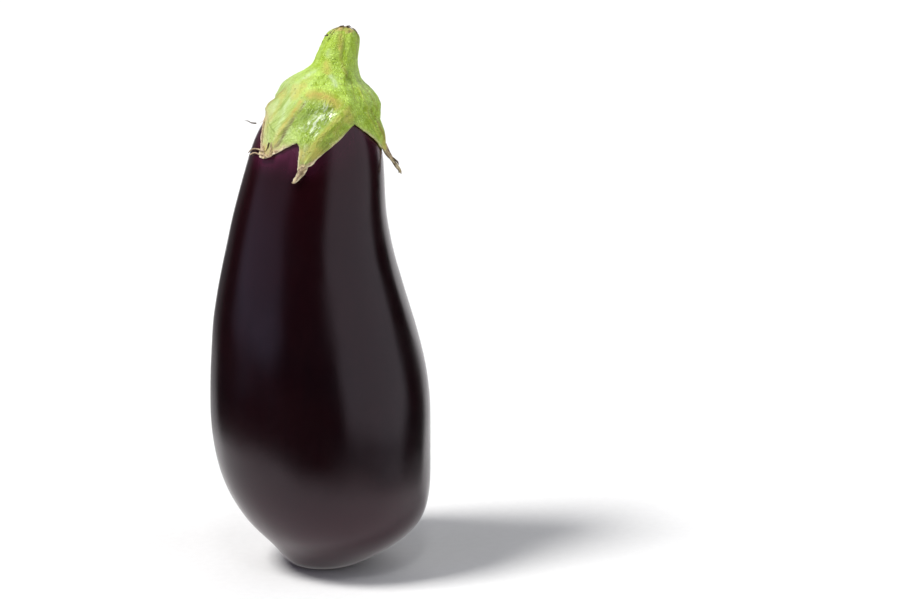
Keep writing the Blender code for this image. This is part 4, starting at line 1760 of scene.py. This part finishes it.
@dataclass
class CalyxSurface:
    """The calyx's fine relief and its colour masks.

    A point's mark along is -1 at the cut, 0 on the notch line and 1 at a tip.
    """

    hollow_middle: tuple = (0.0005, -0.0215, 0.1870)
    hollow_reach: tuple = (0.0105, 0.012, 0.0110)
    hollow_from: tuple = (1.35, -1.0)
    stem_from: tuple = (0.2020, 0.008)
    grain_radius: float = 0.025
    comb_run: tuple = (-0.493, -0.417, -0.764)
    comb_squeeze: float = 0.66
    wander: float = 0.00035
    wander_size: float = 0.003
    wander_seeds: tuple = (21.0, 22.0, 23.0)
    line_end: float = 0.15
    line_steps: int = 6
    lumps: SoftNoise = SoftNoise(0.0042, 1.0, 2)
    lump_height: float = 0.00018
    wrinkles: SoftNoise = SoftNoise(0.0015, 9.0, 2)
    wrinkle_height: float = 0.00012
    wrinkle_sharpness: float = 2.2
    grit: SoftNoise = SoftNoise(0.0015, 6.0, 2)
    grit_height: float = 0.00004
    cork_height: float = 0.00012
    fibres: SoftNoise = SoftNoise(0.0019, 4.0, 2)
    fibre_height: float = 0.00006
    fibre_squeeze: tuple = (1, 1, 0.10)
    rise_range: tuple = (-0.00045, 0.0008)
    margin_loss: float = 0.8
    margin_from: tuple = (0.0, 0.2)
    margins_below: float = 0.196
    gap_unit: float = 0.002
    crease_breaks: SoftNoise = SoftNoise(0.0035, 15.0)
    crease_least: float = 0.75
    crease_gain: float = 0.9
    rub_edge: float = 1.6
    rub_waver: float = 0.7
    dull_from: tuple = (-0.04, 0.22)
    front_from: tuple = (0.004, -0.004)
    fade_breaks: SoftNoise = SoftNoise(0.0022, 12.0, 2)
    fade_squeeze: tuple = (1, 1, 0.5)
    fade_left_from: tuple = (-0.008, -0.006)
    fade_width: tuple = (0.0010, 0.0022)
    fade_share: tuple = (0.45, 0.53)
    dry_breaks: SoftNoise = SoftNoise(0.0024, 8.0, 2)
    dry_left_from: tuple = (-0.010, -0.004)
    dry_low_from: tuple = (0.186, -0.006)
    dry_width: tuple = (0.0003, 0.0007)
    dry_breadth: tuple = (0.2, 1.6)
    dry_ease: float = 0.0007
    dry_share: tuple = (0.75, 0.25)
    dry_tip_waver: float = 0.30
    dry_tip_reach: float = 0.16
    cut_level: float = 0.971
    cut_depth: tuple = (0.01, 0.085)
    cut_ease: float = -0.045
    cut_share: float = 0.9

    def fold_relief(self, points: Array) -> tuple[Array, dict]:
        """Draws every fold.

        Args:
            points: The calyx's points.

        Returns:
            The folds' height in metres at each, and their colour shares there by name.
        """
        height = np.zeros(len(points))
        marks = {name: np.zeros(len(points)) for name in ("ridge", "crease", "bloom_and_painted_highlight", "green", "gloss")}
        wander = [SoftNoise(self.wander_size, seed).at(points) for seed in self.wander_seeds]
        points = points + self.wander * np.column_stack(wander)
        for fold in FOLDS:
            line = smooth_line(fold.points, self.line_steps * len(fold.points))
            gap, share = distance_to_line(points, line)
            ends = smooth_step(share / self.line_end) * smooth_step((1 - share) / self.line_end)
            bell = np.exp(-((gap / (MILLIMETRE * fold.width)) ** 2)) * ends
            height += MILLIMETRE * fold.height * bell
            for name, mark in marks.items():
                marks[name] = np.maximum(mark, getattr(fold, name) * bell)
        return height, marks

    def rise(self, points: Array, parts: MeshParts, folds: Array, fields: dict) -> Array:
        """How far each point stands out of the plain calyx.

        Args:
            points: The plain calyx's points.
            parts: The gathered mesh.
            folds: The folds' height at each point.
            fields: Grain, combed, valley and lumps at each point.

        Returns:
            Metres for each point.
        """
        outside, cork = parts.mark("outside"), parts.mark("cork")
        grit = self.grit.at(points)
        crumple = 1 - self.wrinkle_sharpness * np.abs(self.wrinkles.at(fields["combed"]))
        margin = step_from(parts.mark("along"), *self.margin_from) * np.abs(parts.mark("edge")) ** 4
        rise = folds + self.lump_height * fields["lumps"] + self.wrinkle_height * fields["valley"] * crumple
        rise += self.grit_height * grit
        rise += self.fibre_height * self.fibres.at(fields["grain"] * self.fibre_squeeze)
        rise = np.clip(rise, *self.rise_range) * outside * (1 - self.margin_loss * margin)
        rise = np.where(cork > 0, self.cork_height * grit, rise)
        for middle, reach, height in SWELLS:
            rise += MILLIMETRE * height * smooth_step(1 - self.reach_from(points, middle, reach)) * outside
        return rise

    def reach_from(self, points: Array, middle: tuple, radius: float) -> Array:
        """Distances from a middle over a radius, both given in millimetres."""
        return np.linalg.norm(points - np.array(middle) * MILLIMETRE, axis=1) / (MILLIMETRE * radius)

    def dress(self, parts: MeshParts, margins: Array) -> tuple[Array, dict]:
        """Adds the folds and wrinkles, and works out the colour masks.

        Args:
            parts: The gathered mesh.
            margins: Points along the lobes' margins.

        Returns:
            The moved points, and the masks by name.
        """
        points = parts.all_points()
        along, outside, cork = (parts.mark(name) for name in ("along", "outside", "cork"))
        turn = np.radians(parts.mark("turn"))
        run = np.array(self.comb_run)
        hollow = np.linalg.norm((points - self.hollow_middle) / self.hollow_reach, axis=1)
        round_stem = self.grain_radius * np.sin(turn), self.grain_radius * np.cos(turn)
        fields = {
            "grain": np.column_stack((*round_stem, points[:, 2])),
            "combed": points - self.comb_squeeze * (points @ run)[:, None] * run,
            "valley": step_from(hollow, *self.hollow_from),
            "lumps": self.lumps.at(points),
        }
        stem = step_from(points[:, 2], *self.stem_from)
        folds, marks = self.fold_relief(points)
        rise = self.rise(points, parts, folds, fields)
        points = points + point_normals(points, parts.faces) * rise[:, None]
        gaps = nearest_gaps(points, margins, (outside > 0) & (points[:, 2] < self.margins_below))
        for middle, radius, amount in RUBS:
            inside = self.rub_edge - self.reach_from(points, middle, radius) + self.rub_waver * fields["lumps"]
            marks["ridge"] = np.maximum(marks["ridge"], amount * smooth_step(inside))
        marks["crease"] *= self.crease_least + self.crease_gain * self.crease_breaks.at(points)
        marks["dull"] = np.where(parts.mark("sepal") == FRONT_SEPAL, step_from(along, *self.dull_from), 0.0)
        masks = {
            **{name: np.clip(mark * outside, 0, 1) for name, mark in marks.items()},
            **{name: fields[name] for name in ("grain", "combed", "valley")},
            "stem": stem,
            "dry": self.dryness(points, parts, gaps),
            "gap": np.where(outside > 0.5, np.clip(gaps / self.gap_unit, 0, 1), 1.0),
            "fade": self.margin_fade(points, gaps),
            "rim": np.where(along <= -0.999, np.where(cork > 0, cork, 1.0), 0.0),
        }
        return points, masks

    def margin_fade(self, points: Array, gaps: Array) -> Array:
        """How far the green has gone straw toward the margins, most on the left sepal.

        Args:
            points: The calyx's points.
            gaps: Their distances to the nearest margin.

        Returns:
            A share for each point.
        """
        left = step_from(points[:, 0], *self.fade_left_from) * step_from(points[:, 1], *self.front_from)
        broken = 0.5 + 0.5 * self.fade_breaks.at(points * self.fade_squeeze)
        width = (self.fade_width[0] + self.fade_width[1] * left) * (0.5 + broken)
        return np.exp(-((gaps / width) ** 2)) * (self.fade_share[0] + self.fade_share[1] * left)

    def dryness(self, points: Array, parts: MeshParts, gaps: Array) -> Array:
        """Where the calyx has dried: its margins, the sepals' tips and the rim of the cut.

        Args:
            points: The calyx's points.
            parts: The gathered mesh.
            gaps: The points' distances to the nearest margin.

        Returns:
            1 where it is dry and 0 on green flesh.
        """
        along = parts.mark("along")
        start = np.array([s.dry_from for s in SEPALS])[parts.mark("sepal").astype(int)]
        broken = 0.5 + 0.5 * self.dry_breaks.at(points)
        left = step_from(points[:, 0], *self.dry_left_from) * step_from(points[:, 2], *self.dry_low_from)
        width = self.dry_width[0] + self.dry_width[1] * left
        width = width * (self.dry_breadth[0] + self.dry_breadth[1] * broken)
        margin = step_from(gaps, width + self.dry_ease, -self.dry_ease)
        margin = margin * (self.dry_share[0] + self.dry_share[1] * left)
        tip = smooth_step((along - start + self.dry_tip_waver * (broken - 0.5)) / self.dry_tip_reach)
        front = step_from(points[:, 1], *self.front_from)
        depth = (self.cut_depth[0] + self.cut_depth[1] * front) * broken
        cut = self.cut_share * smooth_step((along + self.cut_level - depth) / self.cut_ease)
        cut = np.where(along < -0.5, cut, 0.0)
        return np.clip(np.maximum(margin, np.maximum(tip, cut)), 0, 1)


# Dry threads at the sepals' tips and the rim of the cut.

@dataclass(frozen=True)
class Thread:
    """A dried thread, in millimetres: points from its root, widest radius, darkness, and its flat's normal."""

    points: tuple
    radius: float
    dark: float
    flat: tuple = (0.31, 0.22, 0.92)


@dataclass
class ThreadBunch:
    """A bunch of dried threads that stand off one place on the calyx.

    Each is flattened, tapers by a share of its radius, wavers more toward its tip, and turns on itself.
    """

    name: str
    threads: tuple
    finish: bpy.types.Material
    sides: int = 8
    steps: int = 28
    flatness: float = 0.55
    taper: float = 0.82
    taper_power: float = 1.3
    waver: float = 0.25
    waver_turns: float = 9.0
    spiral: float = 1.2
    root_share: float = 0.4

    def make(self) -> bpy.types.Object:
        """Builds the threads as one closed mesh each.

        Returns:
            The bunch, in one piece.
        """
        parts = MeshParts()
        for number, thread in enumerate(self.threads):
            self.add_tube(parts, smooth_line(thread.points, self.steps), thread, number)
        bunch = parts.make(self.name, parts.all_points(), [self.finish], {"dark": parts.mark("dark")})
        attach(bunch, "root")
        return bunch

    def add_tube(self, parts: MeshParts, line: Array, thread: Thread, number: int) -> None:
        """Adds one thread.

        Args:
            parts: The mesh being gathered.
            line: The points along its middle.
            thread: The thread.
            number: Its number in the bunch, which shifts where it wavers.
        """
        run = np.gradient(line, axis=0)
        run /= np.linalg.norm(run, axis=1)[:, None]
        radius = MILLIMETRE * thread.radius
        side = np.cross(run, thread.flat)
        side /= np.linalg.norm(side, axis=1)[:, None]
        up = np.cross(side, run)
        shares = np.linspace(0, 1, len(line))
        waver = 1 + self.waver * np.sin(self.waver_turns * shares + number) * shares
        size = radius * (1 - self.taper * shares**self.taper_power) * waver
        rings = []
        for place, s, u, r, share in zip(line, side, up, size, shares):
            turn = np.arange(self.sides) * 2 * np.pi / self.sides + self.spiral * share
            ring = place + r * (np.cos(turn)[:, None] * s + self.flatness * np.sin(turn)[:, None] * u)
            rings.append(parts.add(ring, dark=thread.dark))
        parts.rings([ring[::-1] for ring in rings])
        root = line[0] - run[0] * radius * self.root_share
        parts.fan(rings[0][::-1], parts.add(root, dark=thread.dark)[0])
        parts.fan(rings[-1], parts.add(line[-1] + run[-1] * size[-1], dark=thread.dark)[0])


LEFT_CLAWS = (
    Thread(((-19.7, -20.4, 175.4), (-20.8, -18.4, 175.5), (-22.3, -15.3, 175.4), (-23.7, -12.4, 175.2),
            (-25.2, -9.2, 174.5), (-26.2, -6.9, 173.6), (-27, -5.9, 172.6)), 0.75, 0.10),
    Thread(((-19.5, -20.9, 174.1), (-21.1, -18.3, 173.7), (-22.5, -15.8, 173.8), (-23.9, -13.3, 173.7),
            (-25.3, -10.6, 172.9), (-26.4, -8.3, 172)), 0.70, 0.05),
    Thread(((-20.3, -18.1, 176.9), (-19.8, -19.9, 175.3), (-19.2, -21.2, 174.1), (-18, -22.3, 173.4),
            (-16.7, -23.1, 173.6), (-16.3, -23.3, 174.4)), 0.80, 0),
    Thread(((-16.2, -21.1, 178.7), (-16.6, -22.1, 176.8), (-16.9, -22.7, 175.1), (-17.2, -22.7, 173.8)),
            0.55, 0.05),
    Thread(((-19.5, -5, 187.7), (-20.4, -9.2, 185), (-20.6, -12.7, 182.3), (-20.7, -15.5, 179.5),
            (-20.7, -17.4, 177), (-20.2, -19.3, 175.4)), 0.42, 0),
    Thread(((-17.4, -20.3, 178.6), (-17.8, -20.9, 177.4), (-18.3, -21.1, 176.2), (-18.9, -21, 175)),
            0.42, 1),
)
FRONT_TIP = (
    Thread(((-3.9, -30, 170.4), (-4.9, -30, 168), (-5.9, -29.8, 166.2), (-7, -29.5, 164.9),
            (-8.2, -29.2, 164.2)), 0.55, 0.10),
)
RIGHT_HOOK = (
    Thread(((26.9, -1.6, 175.4), (28.1, -1.5, 172.6), (29.2, -1.4, 170.8), (30.4, -1.2, 169.1),
            (31.4, -0.9, 167.2), (32.6, -0.8, 165.5), (33.9, -0.8, 163.6)), 1.25, 0.25, (0.1, 1, 0)),
    Thread(((30, -1.4, 169.9), (31.2, -0.9, 169.2), (32.2, -0.2, 168.3), (32.9, 0.2, 166.9)),
            0.65, 0.95, (0.1, 1, 0)),
)
LEFT_WHISKER = (
    Thread(((-19.8, -4.5, 186.2), (-22.2, -4.8, 184.6), (-24.1, -4.2, 184.3)), 0.14, 0),
    Thread(((-24, -4.2, 184.3), (-25.9, -3.4, 184.4), (-27.2, -3.6, 185.1), (-28.6, -3.8, 185.2)),
            0.52, 1),
)
RIM_SHREDS = (
    Thread(((5.6, 0.2, 219.6), (6.6, 0.2, 220.6), (7.8, 0.8, 221.5), (9.2, 1.8, 222.1)), 0.30, 0.45),
    Thread(((5, -0.2, 219), (4.2, -0.4, 218.8), (3.5, -0.6, 218.6)), 0.60, 1),
    Thread(((9.6, 2.4, 222), (10.6, 2.2, 222.4), (11.5, 2.4, 222.4)), 0.50, 1),
    Thread(((12.4, 2.6, 222.2), (13.4, 2.8, 222.3), (14.2, 3.4, 221.7)), 0.60, 0.9),
    Thread(((14.6, 4, 221.4), (15.9, 4.6, 220.2), (16.6, 5, 218.6), (16.9, 5.2, 216.6),
            (16.9, 5.2, 214.6)), 0.42, 0.55),
)
BUNCHES = {
    "left_claws": LEFT_CLAWS,
    "right_hook": RIGHT_HOOK,
    "left_whisker": LEFT_WHISKER,
    "front_tip": FRONT_TIP,
    "rim_shreds": RIM_SHREDS,
}


# The studio.

@dataclass(frozen=True)
class Glow:
    """A soft box of light in the sky.

    Its middle, half size, corner and the softness of its left and right edges are in degrees.
    """

    azimuth: float
    elevation: float
    half_width: float
    half_height: float
    corner: float
    soft_left: float
    soft_right: float
    colour: tuple


# Laid over one another in this order.
GLOWS = {
    "right_box": Glow(65, 31, 40, 49, 16, 12, 3, (0.77, 0.80, 0.84)),
    "left_box": Glow(-68, 30, 33, 33, 16, 20, 11, (0.49, 0.50, 0.69)),
    "left_upper": Glow(-68, 52, 38, 42, 12, 20, 14, (0.27, 0.26, 0.33)),
    "backdrop": Glow(169, 0, 31, 56, 16, 7, 6, (1.15, 1.14, 1.15)),
    "far_left": Glow(-146, 10, 15, 60, 10, 14, 16, (0.13, 0.125, 0.13)),
    "low_left": Glow(-150, -34, 18, 23, 8, 8, 10, (0.50, 0.49, 0.50)),
    "front_top": Glow(6, 60, 9, 5, 3, 3, 3, (10, 10, 10)),
    "key": Glow(-68, 58, 14, 8, 5, 4, 4, (46, 45.6, 44.6)),
}


@dataclass
class Studio:
    """A plain pale floor, soft light from all round, and the camera.

    Reflections see the floor near the fruit alone, with some soft light in it, and the sky further out.
    """

    floor_size: float = 6.0
    floor_colour: tuple = (0.86, 0.86, 0.86)
    floor_lift: float = 1.02
    floor_grain: float = 300.0
    floor_roughness: float = 0.85
    floor_specular: float = 0.2
    near_front: tuple = (0.098, 0.164)
    near_middle: tuple = (-0.022, 0.020, 0.0)
    near_reach: tuple = (0.127, 0.226)
    near_fill: tuple = (0.98, 0.95, 0.96)
    fill_share: float = 0.3
    camera_target: tuple = (0.0535, 0.0, 0.1115)
    camera_distance: float = 0.867
    camera_elevation: float = 12.0
    lens: float = 85.0
    sensor: float = 36.0
    ambient: float = 0.015
    sight_colour: tuple = (1.0, 1.0, 1.0)
    sight: float = 1.05

    def make(self) -> None:
        """Builds the floor, the sky and the camera."""
        self.make_floor()
        self.make_sky()
        self.make_camera()
        bpy.context.scene.view_settings.view_transform = "Standard"

    def make_camera(self) -> None:
        """Places the camera, looking down a little from the front."""
        tilt = np.radians(self.camera_elevation)
        away = Vector((0.0, -np.cos(tilt), np.sin(tilt)))
        data = bpy.data.cameras.new("camera")
        data.lens = self.lens
        data.sensor_width = self.sensor
        camera = bpy.data.objects.new("camera", data)
        camera.location = Vector(self.camera_target) + self.camera_distance * away
        camera.rotation_euler = away.to_track_quat("Z", "Y").to_euler()
        bpy.context.scene.collection.objects.link(camera)
        bpy.context.scene.camera = camera

    def make_floor(self) -> None:
        """Lays the floor: matt and pale, and out of the reflections a little way from the fruit."""
        half = self.floor_size / 2
        corners = [(-half, -half, 0), (half, -half, 0), (half, half, 0), (-half, half, 0)]
        mesh = bpy.data.meshes.new("floor")
        mesh.from_pydata(corners, [], [(0, 1, 2, 3)])
        mesh.materials.append(self.floor_finish())
        floor = bpy.data.objects.new("floor", mesh)
        bpy.context.scene.collection.objects.link(floor)

    def floor_finish(self) -> Material:
        """Builds the floor's material.

        Returns:
            The material, which reflections see through far from the fruit, and partly as a glow of painted
            light near it.
        """
        sheet = FinishSheet("pale_floor")
        grain = sheet.cloud(sheet.place, self.floor_grain, 2.0)
        light = tuple(min(1.0, c * self.floor_lift) for c in self.floor_colour)
        material = sheet.dress({
            "Base Color": sheet.mix(sheet.ramp(grain.outputs["Fac"], 0.3, 0.7), self.floor_colour, light),
            "Roughness": self.floor_roughness,
            "Specular IOR Level": self.floor_specular,
        })
        toward = sheet.times(sheet.parts_of(sheet.place)[1], -1.0)
        inputs = {0: sheet.place, 1: self.near_middle}
        shifted = sheet.add("VectorMath", inputs, operation="SUBTRACT").outputs[0]
        reach = sheet.add("VectorMath", {0: shifted}, operation="LENGTH").outputs["Value"]
        far = sheet.math("MAXIMUM", sheet.ramp(toward, *self.near_front), sheet.ramp(reach, *self.near_reach))
        mirror = sheet.add("LightPath").outputs["Is Glossy Ray"]
        # Reflections see the near floor partly as an even glow: painted light that lifts the shadow seen in
        # them.
        fill = sheet.add("Emission", {"Color": self.near_fill}).outputs[0]
        clear = sheet.add("BsdfTransparent").outputs[0]
        near = sheet.mix_shaders(sheet.times(mirror, self.fill_share), sheet.shader.outputs[0], fill)
        both = sheet.mix_shaders(sheet.times(far, mirror), near, clear)
        sheet.put(sheet.tree.nodes["Material Output"].inputs["Surface"], both)
        return material

    def make_sky(self) -> None:
        """Lights the scene from soft boxes set in the sky, with a white sight behind everything."""
        world = bpy.data.worlds.new("studio")
        world.use_nodes = True
        sheet = NodeSheet(world.node_tree)
        east, north, up = sheet.parts_of(sheet.add("TexCoord").outputs["Generated"])
        azimuth = sheet.times(sheet.math("ARCTAN2", east, sheet.times(north, -1.0)), 180 / np.pi)
        elevation = sheet.times(sheet.math("ARCSINE", up), 180 / np.pi)
        colour = (self.ambient,) * 3
        for glow in GLOWS.values():
            colour = self.add_glow(sheet, glow, azimuth, elevation, colour)
        lit = world.node_tree.nodes["Background"]
        sheet.put(lit.inputs["Color"], colour)
        seen = sheet.add("Background", {"Color": self.sight_colour, "Strength": self.sight})
        sight = sheet.add("LightPath").outputs["Is Camera Ray"]
        both = sheet.mix_shaders(sight, lit.outputs[0], seen.outputs[0])
        sheet.put(world.node_tree.nodes["World Output"].inputs["Surface"], both)
        bpy.context.scene.world = world

    def add_glow(
        self, sheet: NodeSheet, glow: Glow, azimuth: Socket, elevation: Socket, under: object
    ) -> Socket:
        """Adds one soft box over the colours under it.

        Args:
            sheet: The sky's nodes.
            glow: The box.
            azimuth: Degrees round, 0 at the front.
            elevation: Degrees above the floor.
            under: The colour so far.

        Returns:
            The colour with the box added.
        """
        across = sheet.math("WRAP", sheet.math("SUBTRACT", azimuth, glow.azimuth), 180.0, -180.0)
        rise = sheet.math("SUBTRACT", elevation, glow.elevation)
        over = []
        for value, half in ((across, glow.half_width), (rise, glow.half_height)):
            over.append(sheet.math("SUBTRACT", sheet.math("ABSOLUTE", value), half - glow.corner))
        wide, tall = (sheet.math("MAXIMUM", value, 0.0) for value in over)
        length = sheet.math("SQRT", sheet.math("MULTIPLY_ADD", wide, wide, sheet.times(tall, tall)))
        inner = sheet.math("MINIMUM", sheet.math("MAXIMUM", *over), 0.0)
        out = sheet.math("SUBTRACT", sheet.math("ADD", length, inner), glow.corner)
        side = sheet.ramp(across, -0.3 * glow.half_width, 0.3 * glow.half_width)
        soft = sheet.math("MULTIPLY_ADD", side, glow.soft_right - glow.soft_left, glow.soft_left)
        share = sheet.ramp(sheet.math("DIVIDE", out, soft), -0.5, 0.5, 1.0, 0.0)
        return sheet.mix(share, under, glow.colour)


def main() -> None:
    """Builds the pieces in order and reports each one."""
    logging.basicConfig(level=logging.INFO, format="%(name)s: %(message)s")
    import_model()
    Studio().make()
    LOG.info("studio: floor, soft sky and camera")
    effects = Effects()
    form = FruitForm()
    calyx, margins = Calyx(form).make(effects)
    LOG.info("calyx: %d faces", len(calyx.data.polygons))
    skin = FruitSkin(form).make(effects, margins)
    LOG.info("fruit_skin: %d faces", len(skin.data.polygons))
    husk = HuskFinish().make(effects)
    for name, threads in BUNCHES.items():
        bunch = ThreadBunch(name, threads, husk).make()
        LOG.info("%s: %d faces", name, len(bunch.data.polygons))


if __name__ == "__main__":
    main()
